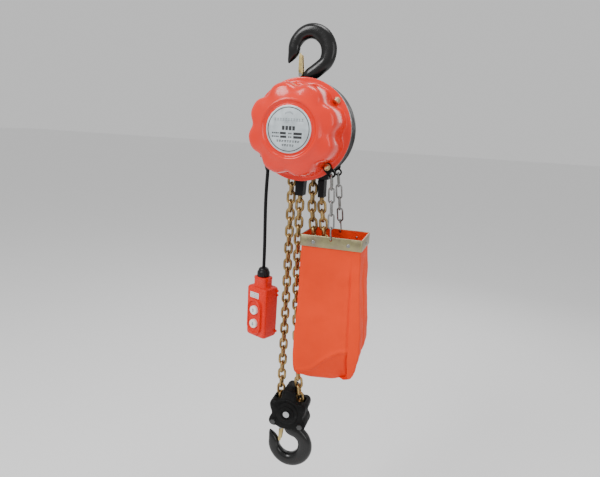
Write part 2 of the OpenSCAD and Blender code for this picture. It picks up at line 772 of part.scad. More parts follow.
module bag_rim() {
    color("#a39a52") translate([bag_x, 0, rim_top - rim_h / 2]) difference() {
        rounded_box([rim_w, rim_d, rim_h], 2.5);
        rounded_box([rim_w - 4, rim_d - 4, rim_h + 2], 1.5);
        for (s = [-1, 1]) translate([0, s * rim_d / 2 - 5, rim_h / 2 - 6]) rotate([-90, 0, 0])
            cylinder(r = 2.6, h = 10);
        for (s = [-1, 1]) {
            for (x = [-35, 35]) translate([x, s * rim_d / 2 - 5, -2]) rotate([-90, 0, 0])
                cylinder(r = 2, h = 10);
            translate([s * rim_w / 2 - 5, 0, -2]) rotate([0, 90, 0]) cylinder(r = 2, h = 10);
        }
    }
}

module bag_rivets() {
    color("silver") translate([bag_x, 0, rim_top - rim_h / 2 - 2]) {
        for (s = [-1, 1], x = [-35, 35]) translate([x, s * (rim_d / 2 - 2), 0])
            rotate([s > 0 ? -90 : 90, 0, 0]) {
                translate([0, 0, -2.6]) cylinder(r = 1.95, h = 5);
                translate([0, 0, 2]) cylinder(r = 3.6, h = 1.5);
            }
        for (s = [-1, 1]) translate([s * (rim_w / 2 - 2), 0, 0]) rotate([0, s * 90, 0]) {
            translate([0, 0, -2.6]) cylinder(r = 1.95, h = 5);
            translate([0, 0, 2]) cylinder(r = 3.6, h = 1.2);
        }
    }
}

// Rounded rectangular section of the bag at height z: x0..x1 and y0..y1 with corner radius r.
function bag_ring(s, d, z) = [for (c = [0:3], a = [0:30:90])
    let (r = s[5], x = (c == 0 || c == 3) ? s[2] - d - r : s[1] + d + r,
         y = c < 2 ? s[4] - d - r : s[3] + d + r, q = a + 90 * c)
    [x + r * cos(q), y + r * sin(q), z]];

module chain_bag() {
    last = len(bag_sections) - 1;
    color("#f04a23") difference() {
        loft([for (i = [last:-1:0]) bag_ring(bag_sections[i], 0, rim_top - 1 - bag_sections[i][0])]);
        loft([for (i = [last:-1:0]) let (s = bag_sections[i])
            bag_ring(s, bag_wall, rim_top - 1 - s[0] + (i == last ? bag_wall : i == 0 ? 1 : 0))]);
    }
}

// Round wire bent to part of a circle of radius r, starting at the origin and turning to -X.
module bent_wire(r, turn, wire_r) {
    translate([-r, 0, 0]) rotate([90, 0, 0]) rotate_extrude(angle = turn, $fn = 24)
        translate([r, 0]) circle(r = wire_r, $fn = 24);
}

// A steel chain of four links and an open wire hook, hanging from the hole at a down to the hole at b.
module hanging_chain(a, b) {
    d = b - a;
    hook_top = -105.9;
    hook_bottom = -norm(d) + 4.3;
    translate(a) rotate([asin(d[1] / norm(d)), -atan2(d[0], -d[2]), 0]) {
        for (i = [0:3]) translate([0, 0, -15.8 - 25 * i]) rotate([0, 0, i % 2 == 0 ? 90 : 0])
            link(14.3, 5.4, 1.75);
        rotate([0, 0, d[1] < 0 ? -90 : 90]) translate([4, 0, 0]) {
            translate([0, 0, hook_bottom]) cylinder(r = 1.5, h = hook_top - hook_bottom, $fn = 24);
            translate([0, 0, hook_top]) bent_wire(4, 210, 1.5);
            translate([0, 0, hook_bottom]) rotate([180, 0, 0]) bent_wire(4.2, 200, 1.5);
        }
    }
}

module bag_chains() {
    hook_z = rim_top - 6;
    color("#c4c7ca") {
        hanging_chain([bag_hinge_x, -37.6, bag_hinge_z], [bag_x, -rim_d / 2 + 1, hook_z]);
        hanging_chain([bag_hinge_x, frame_rear + 1.6, bag_hinge_z], [bag_x, rim_d / 2 - 1, hook_z]);
    }
}

// Spare chain coiled in the bottom of the bag.
module chain_heap() {
    rise = 2.65;
    color("#a07c3c") for (i = [0:23]) let (r = i % 2 == 0 ? flat_r : upright_r)
        translate([63, 0, rim_top - bag_depth + 20 + rise * i]) rotate([0, 0, 45 * i])
            translate([r, 0, 0]) rotate([90 + atan(rise / 18), 0, 0])
                rotate([0, 0, i % 2 == 0 ? 90 : 0]) link(link_tip, chain_half_width, chain_r);
}

// ---- pendant ----

module at_pendant() { translate([cable_x, cable_y, 0]) rotate([0, 0, pendant_yaw]) children(); }

module pendant_cable() {
    sides = 10;
    color("#121212") loft([for (i = [len(cable_route) - 1:-1:0]) [for (k = [0:sides - 1])
        cable_route[i] + [cable_d / 2 * cos(360 * k / sides), cable_d / 2 * sin(360 * k / sides), 0]]]);
}

module pendant_case() {
    neck_h = 22;
    color("#ee4326") at_pendant() difference() {
        union() {
            translate([0, 0, pendant_mid]) intersection() {
                rounded_box([pendant_w, pendant_d, pendant_h], 5);
                translate([-50, -50, -100]) cube([100, 50 + split_y, 200]);
            }
            translate([0, 0, pendant_top + neck_h / 2]) rounded_box([37, 30, neck_h], 7);
            translate([17, -3, pendant_top + neck_h - 6]) rotate([90, 0, 0]) cylinder(r = 4, h = 6);
            translate([0, -pendant_d / 2 + 0.5, pendant_mid - 9]) rotate([90, 0, 0]) linear_extrude(7) {
                square([bezel_w, bezel_h - bezel_w], center = true);
                for (s = [-1, 1]) translate([0, s * (bezel_h - bezel_w) / 2]) circle(r = bezel_w / 2);
            }
        }
        translate([0, 6, pendant_mid]) rounded_box([pendant_w - 6, pendant_d - 6 + 12, pendant_h - 6], 3);
        translate([0, 0, pendant_top - 8]) cylinder(r = 11.05, h = neck_h + 10);
        for (s = [-1, 1]) translate([0, -pendant_d / 2 - 10, pendant_mid - 9 + s * button_gap / 2])
            rotate([-90, 0, 0]) {
                cylinder(r = button_d / 2 + 3.4, h = 5.5);
                cylinder(r = button_d / 2 + 0.4, h = 20);
            }
    }
}

module pendant_back_cover() {
    color("#e23c20") at_pendant() {
        translate([0, 0, pendant_mid]) difference() {
            intersection() {
                rounded_box([pendant_w, pendant_d, pendant_h], 5);
                translate([-50, split_y + 0.1, -100]) cube([100, 50, 200]);
            }
            translate([0, split_y - 3, 0]) rounded_box([pendant_w - 6, 12, pendant_h - 6], 2);
        }
        for (z = [-46, 40, 50]) translate([pendant_w / 2 + 1, split_y + 5, pendant_mid + z])
            rotate([90, 0, 0]) cylinder(r = 3, h = 4);
    }
}

module pendant_gland() {
    color("#121213") at_pendant() difference() {
        union() {
            translate([0, 0, pendant_top + 6]) cylinder(r = 11, h = 16);
            translate([0, 0, pendant_top + 22]) cylinder(r = 14.2, h = 14);
            translate([0, 0, pendant_top + 36]) cylinder(r1 = 12, r2 = 6.5, h = gland_top - pendant_top - 36);
        }
        translate([0, 0, pendant_top]) cylinder(r = cable_d / 2, h = 60);
    }
}

module switch_block() {
    color("#33302c") at_pendant() translate([-16, -pendant_d / 2 + 11, pendant_mid - 9 - 32])
        cube([32, 14, 64]);
}

module push_button(side) {
    color("#f1f0ec") at_pendant()
        translate([0, -pendant_d / 2 - 8, pendant_mid - 9 + side * button_gap / 2]) rotate([-90, 0, 0]) {
            cylinder(r = button_d / 2, h = 8);
            cylinder(r = 4, h = 14);
            translate([0, 0, 11.2]) cylinder(r = 12, h = 1.5);
        }
}
module up_button() { push_button(1); }
module down_button() { push_button(-1); }

// ---- nodes ----

front_cover();
nameplate();
cover_bolts();
gear_plate();
frame();
chain_guide();
chain_end_boots();
sheave_bearings();
gear_bridge();
brake_magnet();
motor_housing();
stator();
motor_end_cover();
fan_cowl();
control_box();
control_box_lid();
contactors();
cable_gland();
inlet_gland();
bag_lug_front();
bag_lug_rear();
top_thrust_bearing();
sheave_chain();
slack_fall();
tail_fall();
drive_shaft();
rotor();
brake_disc();
cooling_fan();
disc_gear_right();
disc_gear_left();
load_sheave();
load_gear();
top_hook();
top_hook_nut();
top_latch_pin();
top_latch();
block_front_half();
block_rear_half();
block_bolts();
block_axle();
live_fall();
dead_fall();
block_sheave();
bottom_hook();
bottom_latch_pin();
bottom_latch();
pendant_cable();
pendant_case();
pendant_back_cover();
pendant_gland();
switch_block();
up_button();
down_button();
bag_rim();
bag_rivets();
chain_bag();
bag_chains();
chain_heap();
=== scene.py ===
"""Two-fall electric chain hoist: the looks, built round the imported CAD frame."""
import json
import math
from contextlib import contextmanager

import bmesh
import bpy
import numpy as np
from mathutils import Matrix, Vector, noise


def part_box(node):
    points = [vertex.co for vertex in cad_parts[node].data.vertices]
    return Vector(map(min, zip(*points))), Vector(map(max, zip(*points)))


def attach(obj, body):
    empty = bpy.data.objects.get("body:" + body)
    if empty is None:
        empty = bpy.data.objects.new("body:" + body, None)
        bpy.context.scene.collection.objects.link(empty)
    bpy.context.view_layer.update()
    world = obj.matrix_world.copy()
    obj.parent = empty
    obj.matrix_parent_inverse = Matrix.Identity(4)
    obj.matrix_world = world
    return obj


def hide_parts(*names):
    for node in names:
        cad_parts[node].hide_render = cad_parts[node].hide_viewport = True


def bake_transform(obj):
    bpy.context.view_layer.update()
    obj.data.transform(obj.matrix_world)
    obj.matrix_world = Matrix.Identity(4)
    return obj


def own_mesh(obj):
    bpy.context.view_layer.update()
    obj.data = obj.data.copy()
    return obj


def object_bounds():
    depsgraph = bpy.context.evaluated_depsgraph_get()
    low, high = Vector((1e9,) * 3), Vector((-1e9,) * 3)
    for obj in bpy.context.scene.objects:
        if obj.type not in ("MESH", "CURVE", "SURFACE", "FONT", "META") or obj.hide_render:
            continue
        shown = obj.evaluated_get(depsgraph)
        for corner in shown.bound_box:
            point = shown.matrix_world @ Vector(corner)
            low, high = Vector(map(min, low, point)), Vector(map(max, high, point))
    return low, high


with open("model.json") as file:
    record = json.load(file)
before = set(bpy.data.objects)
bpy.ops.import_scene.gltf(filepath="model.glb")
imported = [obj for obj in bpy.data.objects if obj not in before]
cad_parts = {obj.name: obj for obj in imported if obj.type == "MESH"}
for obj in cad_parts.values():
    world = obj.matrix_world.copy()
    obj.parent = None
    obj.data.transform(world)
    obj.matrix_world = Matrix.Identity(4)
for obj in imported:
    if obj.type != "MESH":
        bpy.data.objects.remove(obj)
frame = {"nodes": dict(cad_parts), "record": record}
cad_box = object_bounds()
MM = 0.001
NODES = frame["nodes"]
# Left alone, Blender's noise takes its seed from the clock.
noise.seed_set(7)


def put_in_scene(name, data):
    """A new object in the scene."""
    obj = bpy.data.objects.new(name, data)
    bpy.context.scene.collection.objects.link(obj)
    return obj


# ---- camera ----

CAMERA_ANGLES = (16, 12.45, 3.26)
CAMERA_PLACE = (0.2783, -0.96985, -0.1486)
LENS_MM = 29.81


def make_camera():
    """A view from the front right and slightly down; the angles are azimuth, pitch and roll."""
    azimuth, pitch, roll = (math.radians(a) for a in CAMERA_ANGLES)
    forward = Vector((-math.sin(azimuth) * math.cos(pitch), math.cos(azimuth) * math.cos(pitch),
                      -math.sin(pitch)))
    right = Vector((math.cos(azimuth), math.sin(azimuth), 0))
    up = right.cross(forward)
    right_rolled = math.cos(roll) * right + math.sin(roll) * up
    up_rolled = -math.sin(roll) * right + math.cos(roll) * up
    data = bpy.data.cameras.new("camera")
    data.lens = LENS_MM
    data.clip_end = 50
    camera = put_in_scene("camera", data)
    camera.matrix_world = Matrix([(right_rolled[i], up_rolled[i], -forward[i], CAMERA_PLACE[i])
                                  for i in range(3)] + [(0, 0, 0, 1)])
    bpy.context.scene.camera = camera


make_camera()


# ---- materials ----

class Look:
    """A procedural material: a Principled shader and the nodes that feed it."""

    def __init__(self, name, colour, roughness, metallic=0.0, coat=0.0, sheen=0.0, specular=0.5):
        self.material = bpy.data.materials.new(name)
        self.material.use_nodes = True
        self.tree = self.material.node_tree
        self.shader = self.tree.nodes["Principled BSDF"]
        self.name = name
        self.colour = colour
        self.set("Base Color", (*colour, 1))
        self.set("Roughness", roughness)
        self.set("Metallic", metallic)
        self.set("Coat Weight", coat)
        self.set("Coat Roughness", 0.08)
        self.set("Sheen Weight", sheen)
        self.set("Specular IOR Level", specular)
        self.height = None
        self.coordinates = self.node("ShaderNodeTexCoord").outputs["Object"]

    def set(self, socket, value):
        """Gives one of the shader's inputs a fixed value."""
        self.shader.inputs[socket].default_value = value

    def node(self, kind, **values):
        """Adds a node of a kind, with the given settings."""
        made = self.tree.nodes.new(kind)
        for key, value in values.items():
            setattr(made, key, value)
        return made

    def link(self, output, socket):
        self.tree.links.new(output, socket)

    def maths(self, operation, *sources):
        """The result of a maths node fed by outputs or plain numbers."""
        made = self.node("ShaderNodeMath", operation=operation)
        for i, source in enumerate(sources):
            if isinstance(source, float):
                made.inputs[i].default_value = source
            else:
                self.link(source, made.inputs[i])
        return made.outputs[0]

    def noise(self, scale, detail=3.0, stretch=(1, 1, 1)):
        """A noise pattern, stretched along the object's axes."""
        mapping = self.node("ShaderNodeMapping")
        mapping.inputs["Scale"].default_value = stretch
        self.link(self.coordinates, mapping.inputs["Vector"])
        made = self.node("ShaderNodeTexNoise")
        made.inputs["Scale"].default_value = scale
        made.inputs["Detail"].default_value = detail
        self.link(mapping.outputs["Vector"], made.inputs["Vector"])
        return made.outputs["Fac"]

    def ramp(self, source, stops):
        """Colours, or greys given as one number, at positions from 0 to 1."""
        made = self.node("ShaderNodeValToRGB")
        elements = made.color_ramp.elements
        while len(elements) < len(stops):
            elements.new(0.5)
        for element, (at, value) in zip(elements, stops):
            element.position = at
            element.color = (*value, 1) if hasattr(value, "__len__") else (value, value, value, 1)
        self.link(source, made.inputs["Fac"])
        return made.outputs["Color"]

    def vary_colour(self, source, low, high, span=(0.35, 0.65)):
        """Base colour that moves between two tints of the look's own colour."""
        dark = tuple(c * low for c in self.colour)
        light = tuple(min(1, c * high) for c in self.colour)
        self.link(self.ramp(source, [(span[0], dark), (span[1], light)]),
                  self.shader.inputs["Base Color"])

    def vary_roughness(self, source, low, high):
        """Roughness that moves between two values."""
        self.link(self.ramp(source, [(0.3, low), (0.7, high)]), self.shader.inputs["Roughness"])

    def bump(self, source, strength, distance):
        """Adds a layer of bump over those already there."""
        made = self.node("ShaderNodeBump")
        made.inputs["Strength"].default_value = strength
        made.inputs["Distance"].default_value = distance
        self.link(source, made.inputs["Height"])
        if self.height is not None:
            self.link(self.height, made.inputs["Normal"])
        self.height = made.outputs["Normal"]
        self.link(self.height, self.shader.inputs["Normal"])


def enamel(name, colour, roughness=0.28, peel=0.25):
    """Sprayed enamel with a faint orange peel and a clear gloss."""
    look = Look(name, colour, roughness, coat=0.2, specular=0.35)
    look.vary_colour(look.noise(9, 4), 0.9, 1.06)
    look.vary_roughness(look.noise(40, 3), roughness * 0.85, roughness * 1.25)
    look.bump(look.noise(420, 2), peel, 0.0003)
    return look


def plated(name, colour, roughness, tint, scale=55):
    """Zinc or bronze plating whose colour drifts from one tint to another."""
    look = Look(name, colour, roughness, metallic=0.9)
    look.link(look.ramp(look.noise(scale, 4), [(0.3, tint), (0.55, colour),
                                             (0.8, tuple(min(1, c * 1.25) for c in colour))]),
              look.shader.inputs["Base Color"])
    look.vary_roughness(look.noise(160, 4), roughness * 0.75, roughness * 1.4)
    look.bump(look.noise(700, 3), 0.25, 0.0002)
    return look


def machined(name, colour, roughness=0.32):
    """Turned or ground steel with fine tool marks."""
    look = Look(name, colour, roughness, metallic=1.0)
    look.vary_colour(look.noise(30, 3), 0.85, 1.1)
    look.vary_roughness(look.noise(90, 3, (1, 12, 1)), roughness * 0.8, roughness * 1.35)
    look.bump(look.noise(900, 2, (1, 14, 1)), 0.12, 0.0001)
    return look


def black_paint(name, level, roughness, grain, grain_height, specular=0.5):
    """Black enamel over a casting or forging, with faint grey scuffs."""
    look = Look(name, (level, level, level * 1.06), roughness, coat=0.3 * max(0, specular - 0.25),
                specular=specular)
    scuffs = look.ramp(look.noise(75, 6), [(0.3, level * 0.7), (0.62, level * 1.3),
                                           (0.74, level * 2 + 0.01)])
    look.link(scuffs, look.shader.inputs["Base Color"])
    look.vary_roughness(look.noise(60, 4), roughness * 0.8, roughness * 1.4)
    look.bump(look.noise(grain, 4), 0.4, grain_height)
    return look


def moulded(name, colour, roughness, grain=900, specular=0.5):
    """Moulded plastic or rubber with a fine spark texture."""
    look = Look(name, colour, roughness, specular=specular)
    look.vary_colour(look.noise(20, 3), 0.92, 1.06)
    look.vary_roughness(look.noise(200, 2), roughness * 0.9, roughness * 1.15)
    look.bump(look.noise(grain, 2), 0.3, 0.00015)
    return look


def speckled_plastic(name, colour):
    """Pendant plastic: pebbled, with a fine lighter and darker speckle."""
    look = Look(name, colour, 0.42, specular=0.25)
    look.vary_colour(look.noise(650, 2), 0.78, 1.15, (0.4, 0.62))
    look.vary_roughness(look.noise(300, 2), 0.3, 0.45)
    look.bump(look.noise(800, 2), 0.45, 0.00035)
    return look


THREAD_PITCH = 0.0011


def coated_cloth(name, colour):
    """Closely woven cloth with a thin matt coating: warp and weft threads, slubs and faint creases."""
    look = Look(name, colour, 0.66, specular=0.15)
    separate = look.node("ShaderNodeSeparateXYZ")
    look.link(look.coordinates, separate.inputs["Vector"])
    across = look.maths("ADD", separate.outputs["X"], separate.outputs["Y"])
    threads = [look.maths("SINE", look.maths("MULTIPLY", source, 2 * math.pi / THREAD_PITCH))
               for source in (across, separate.outputs["Z"])]
    look.vary_colour(look.noise(6, 5), 0.9, 1.08)
    look.vary_roughness(look.noise(45, 4), 0.55, 0.72)
    look.bump(look.noise(38, 5, (1, 1, 0.45)), 0.35, 0.0012)
    look.bump(look.maths("MULTIPLY", *threads), 0.35, 0.00022)
    return look


LOOKS = {look.name: look for look in (
    enamel("cover_enamel", (0.80, 0.02, 0.005), 0.22),
    machined("nameplate_foil", (0.60, 0.66, 0.69), 0.42),
    moulded("print_ink", (0.015, 0.016, 0.018), 0.5),
    plated("yellow_zinc", (0.62, 0.44, 0.22), 0.3, (0.45, 0.33, 0.25)),
    plated("bright_zinc", (0.27, 0.27, 0.265), 0.32, (0.15, 0.14, 0.125)),
    black_paint("black_casting", 0.006, 0.5, 260, 0.0005, 0.1),
    black_paint("black_sheet", 0.007, 0.5, 500, 0.0002, 0.22),
    moulded("black_rubber", (0.007, 0.007, 0.008), 0.5, 500, 0.15),
    moulded("black_nylon", (0.008, 0.008, 0.009), 0.34, 900, 0.25),
    machined("machined_steel", (0.5, 0.51, 0.52)),
    machined("cast_iron", (0.2, 0.205, 0.21), 0.5),
    moulded("brake_lining", (0.16, 0.09, 0.06), 0.8, 300),
    plated("copper_winding", (0.42, 0.2, 0.09), 0.4, (0.3, 0.14, 0.06)),
    plated("chain_bronze", (0.40, 0.27, 0.11), 0.3, (0.15, 0.08, 0.03), 55),
    black_paint("hook_black", 0.004, 0.22, 150, 0.0005, 0.4),
    plated("latch_zinc", (0.5, 0.38, 0.15), 0.33, (0.36, 0.27, 0.1)),
    black_paint("block_hardware", 0.03, 0.35, 300, 0.0002),
    plated("rim_zinc", (0.33, 0.30, 0.16), 0.34, (0.25, 0.2, 0.15), 30),
    coated_cloth("bag_cloth", (0.86, 0.048, 0.005)),
    speckled_plastic("pendant_enamel", (0.80, 0.02, 0.006)),
    moulded("button_white", (0.82, 0.82, 0.8), 0.3),
    moulded("contact_block", (0.3, 0.28, 0.25), 0.5),
)}
PRINT_GREY = moulded("print_grey", (0.28, 0.31, 0.34), 0.5).material
LABEL_WHITE = moulded("label_white", (0.78, 0.78, 0.77), 0.4).material
SLOT_OF = {entry["node"]: entry["material_slot"] for entry in frame["record"]["subparts"]}
BODY_OF = {node: body for body, members in frame["record"]["behaviour"]["bodies"].items()
           for node in members}


def dress_cad_nodes():
    """Every CAD node that stays in sight takes its slot's look."""
    for name, obj in NODES.items():
        obj.data.materials.clear()
        obj.data.materials.append(LOOKS[SLOT_OF[name]].material)


dress_cad_nodes()


# ---- mesh helpers ----

def add_piece(name, shape, node, bend=None):
    """Puts a mesh or bmesh in the scene in place of its CAD node, with that node's look. It rides with
    the node's body, or, where bend is given, is fixed in place in the frame and rides with no body."""
    obj = add_detail(name, shape, node, LOOKS[SLOT_OF[node]].material, smooth=True, bend=bend)
    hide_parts(node)
    return obj


def add_detail(name, shape, node, look, smooth=False, bend=None):
    """Puts a mesh or bmesh in the scene beside a CAD node's other pieces, with a look of its own."""
    mesh = finish_mesh(name, shape) if isinstance(shape, bmesh.types.BMesh) else shape
    obj = put_in_scene(name, mesh)
    mesh.materials.append(look)
    for polygon in mesh.polygons:
        polygon.use_smooth = smooth
    if bend:
        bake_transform(obj)
    else:
        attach(obj, BODY_OF[node])
    return obj


def apply_modifier(obj, kind, **values):
    """Adds a modifier with the given values and applies it."""
    modifier = obj.modifiers.new(kind.lower(), kind)
    for key, value in values.items():
        setattr(modifier, key, value)
    depsgraph = bpy.context.evaluated_depsgraph_get()
    mesh = bpy.data.meshes.new_from_object(obj.evaluated_get(depsgraph))
    old = obj.data
    obj.modifiers.remove(modifier)
    obj.data = mesh
    bpy.data.meshes.remove(old)
    return obj


def add_rings(bm, rings, join_ends=False, caps=True):
    """Faces between equal closed rings of points, in metres."""
    rows = [[bm.verts.new(p) for p in ring] for ring in rings]
    count = len(rows[0])
    pairs = list(zip(rows, rows[1:])) + ([(rows[-1], rows[0])] if join_ends else [])
    for low, high in pairs:
        for k in range(count):
            j = (k + 1) % count
            bm.faces.new((low[k], low[j], high[j], high[k]))
    if caps and not join_ends:
        bm.faces.new(rows[0][::-1])
        bm.faces.new(rows[-1])
    return rows


def finish_mesh(name, bm):
    """A mesh with outward faces from a bmesh."""
    bmesh.ops.recalc_face_normals(bm, faces=bm.faces)
    mesh = bpy.data.meshes.new(name)
    bm.to_mesh(mesh)
    bm.free()
    return mesh


def ring_mesh(name, rings, **options):
    """A mesh of its own from closed rings of points."""
    bm = bmesh.new()
    add_rings(bm, rings, **options)
    return finish_mesh(name, bm)


@contextmanager
def editing(mesh):
    """Opens a mesh as a bmesh to add to, then writes it back with outward faces."""
    bm = bmesh.new()
    bm.from_mesh(mesh)
    yield bm
    bmesh.ops.recalc_face_normals(bm, faces=bm.faces)
    bm.to_mesh(mesh)
    bm.free()


def circle(centre, radius, axis_u, axis_v, count=48):
    """Points on a circle in the plane of two unit axes."""
    return [centre + radius * (math.cos(2 * math.pi * k / count) * axis_u
                               + math.sin(2 * math.pi * k / count) * axis_v) for k in range(count)]


X, Y, Z = Vector((1, 0, 0)), Vector((0, 1, 0)), Vector((0, 0, 1))


def rounded_rectangle(half_w, half_d, radius, count):
    """(x, y) round a rectangle from its middle, with count points in each rounded corner."""
    line = []
    for place, (sx, sy) in enumerate(((1, -1), (1, 1), (-1, 1), (-1, -1))):
        for k in range(count):
            angle = math.radians(-90 + 90 * place + 90 * k / (count - 1))
            line.append((sx * (half_w - radius) + radius * math.cos(angle),
                         sy * (half_d - radius) + radius * math.sin(angle)))
    return line


def add_lathe(bm, base, axis, profile, count=48):
    """A solid of revolution: profile holds (distance along axis, radius) in millimetres."""
    axis = Vector(axis).normalized()
    side = axis.orthogonal().normalized()
    other = axis.cross(side)
    add_rings(bm, [circle(base + axis * d * MM, max(r, 0.02) * MM, side, other, count)
                   for d, r in profile])


def islands(node):
    """The separate solids of a CAD node, each as an array of its vertices."""
    mesh = NODES[node].data
    parent = list(range(len(mesh.vertices)))

    def root(i):
        while parent[i] != i:
            parent[i] = parent[parent[i]]
            i = parent[i]
        return i

    keys = {}
    for i, vertex in enumerate(mesh.vertices):
        key = tuple(round(c * 1e6) for c in vertex.co)
        parent[root(i)] = root(keys.setdefault(key, i))
    for edge in mesh.edges:
        parent[root(edge.vertices[0])] = root(edge.vertices[1])
    groups = {}
    for i, vertex in enumerate(mesh.vertices):
        groups.setdefault(root(i), []).append(tuple(vertex.co))
    return [np.array(points) for _, points in sorted(groups.items())]


def smooth_line(points, per_span=6):
    """Catmull-Rom curve through tuples of numbers."""
    points = [np.array(p, float) for p in points]
    padded = [2 * points[0] - points[1]] + points + [2 * points[-1] - points[-2]]
    line = []
    for a, b, c, d in zip(padded, padded[1:], padded[2:], padded[3:]):
        for step in range(per_span):
            t = step / per_span
            line.append(0.5 * (2 * b + (c - a) * t + (2 * a - 5 * b + 4 * c - d) * t * t
                               + (3 * b - a - 3 * c + d) * t ** 3))
    return line + [points[-1]]


def wobble(point, scale, amount, seed=0.0):
    """Smooth pseudo-random offset along each axis."""
    moved = Vector(point) * scale + Vector((seed, seed * 1.7, seed * 0.6))
    return noise.noise_vector(moved) * amount


# ---- pendant cable ----

CABLE_ROUTE = [(-91, 38, -239), (-91.2, 38, -248), (-91.8, 38.2, -260), (-92.4, 38.5, -273),
               (-92.9, 38.9, -286), (-93.2, 39.2, -300), (-93.3, 39.5, -314), (-93.3, 39.7, -328),
               (-93.1, 39.8, -342), (-92.8, 39.8, -356), (-92.4, 39.6, -370), (-92, 39.3, -384),
               (-91.6, 39, -398), (-91.3, 38.6, -412), (-91.1, 38.3, -426), (-91, 38.1, -440),
               (-91, 38, -455)]
CABLE_DIAMETER = 0.0075


def make_cable():
    """The pendant's lead as a tube, fixed in place."""
    points = [Vector(p) * MM for p in smooth_line(CABLE_ROUTE, 4)]
    mesh = ring_mesh("pendant_lead", [circle(p, CABLE_DIAMETER / 2, X, Y, 24) for p in points])
    lead = add_piece("pendant_lead", mesh, "pendant_cable",
                     bend=("hoist_body", "pendant", points[0] - Z * 0.001, points[0] - Z * 0.07))


make_cable()


# ---- front cover and nameplate ----

AXIS_Z = (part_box("frame")[0].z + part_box("frame")[1].z) / 2
COVER_FRONT = -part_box("front_cover")[0].y / MM
FLANGE_R = (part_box("front_cover")[1].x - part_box("front_cover")[0].x) / 2 / MM
COVER_TURN = math.radians(-4.5)
LOBES = 8
LOBE_RISE = 2.5
LOBE_HEIGHT = 4.8


def front_point(depth, radius, angle):
    """A point in front of the chain plane, round the main axis; depth and radius in millimetres."""
    return Vector((radius * math.cos(angle) * MM, -depth * MM,
                   AXIS_Z + radius * math.sin(angle) * MM))


def front_circle(depth, radius, count=128):
    """A circle of points that faces forward, round the main axis."""
    return [front_point(depth, radius, 2 * math.pi * k / count) for k in range(count)]


def lobed_ring(depth, radius, lobing, count=288):
    """A circle swollen into the cover's lobes, as fully as lobing says."""
    ring = []
    for k in range(count):
        angle = 2 * math.pi * k / count
        wave = -math.cos(LOBES * (angle - COVER_TURN))
        crest = wave * 0.92 - 0.2 * math.cos(2 * LOBES * (angle - COVER_TURN))
        ring.append(front_point(depth, radius + lobing * (LOBE_RISE + LOBE_HEIGHT * crest), angle))
    return ring


def make_cover():
    """Pressed cover: flange, drafted lobed wall, soft shoulder, raised ring and nameplate seat."""
    front = COVER_FRONT
    outer = [(33.05, FLANGE_R - 0.6, 0), (33.4, FLANGE_R, 0), (35.2, FLANGE_R, 0),
             (35.8, FLANGE_R - 0.6, 0), (36, FLANGE_R - 1.8, 0), (36.05, 92, 0.05), (36.3, 88, 0.35),
             (37.6, 84.6, 0.8), (40, 83, 1), (46, 82.4, 1), (56, 82, 1), (66, 81.6, 1), (76, 81, 1),
             (85, 80.3, 1), (92, 79.4, 1), (97, 78.2, 1), (100.6, 76.4, 0.98), (103.2, 73.8, 0.9),
             (105, 70.6, 0.76), (106.6, 66.8, 0.55), (108.3, 62.8, 0.32), (110.2, 59, 0.14),
             (112.2, 56, 0.04), (front - 0.6, 54, 0), (front - 0.05, 52.4, 0), (front - 0.3, 51, 0),
             (front - 1.6, 49.6, 0), (front - 3, 48.4, 0), (front - 3.6, 46.8, 0),
             (front - 3.6, 45, 0), (front - 3.1, 43.9, 0), (front - 1.4, 43, 0),
             (front - 1.05, 42.4, 0), (front - 1.05, 30, 0), (front - 1.05, 8, 0)]
    inner = [(front - 4.2, 8, 0), (front - 6.5, 44, 0), (front - 7, 52, 0), (105, 62, 0.3),
             (101, 71, 0.8), (95, 75.6, 1), (80, 78.3, 1), (50, 80.4, 1), (33.05, 81.5, 1)]
    mesh = ring_mesh("cover_pressing", [lobed_ring(*station) for station in inner + outer])
    add_piece("cover_pressing", mesh, "front_cover")


def add_bar(bm, x, z, width, height, low, thickness=0.12):
    """A thin printed bar on the nameplate, centred at x, z from its middle."""
    corners = [(x - width / 2, z - height / 2), (x + width / 2, z - height / 2),
               (x + width / 2, z + height / 2), (x - width / 2, z + height / 2)]
    add_rings(bm, [[Vector((a * MM, -(low + d) * MM, AXIS_Z + b * MM)) for a, b in corners]
                   for d in (0, thickness)])


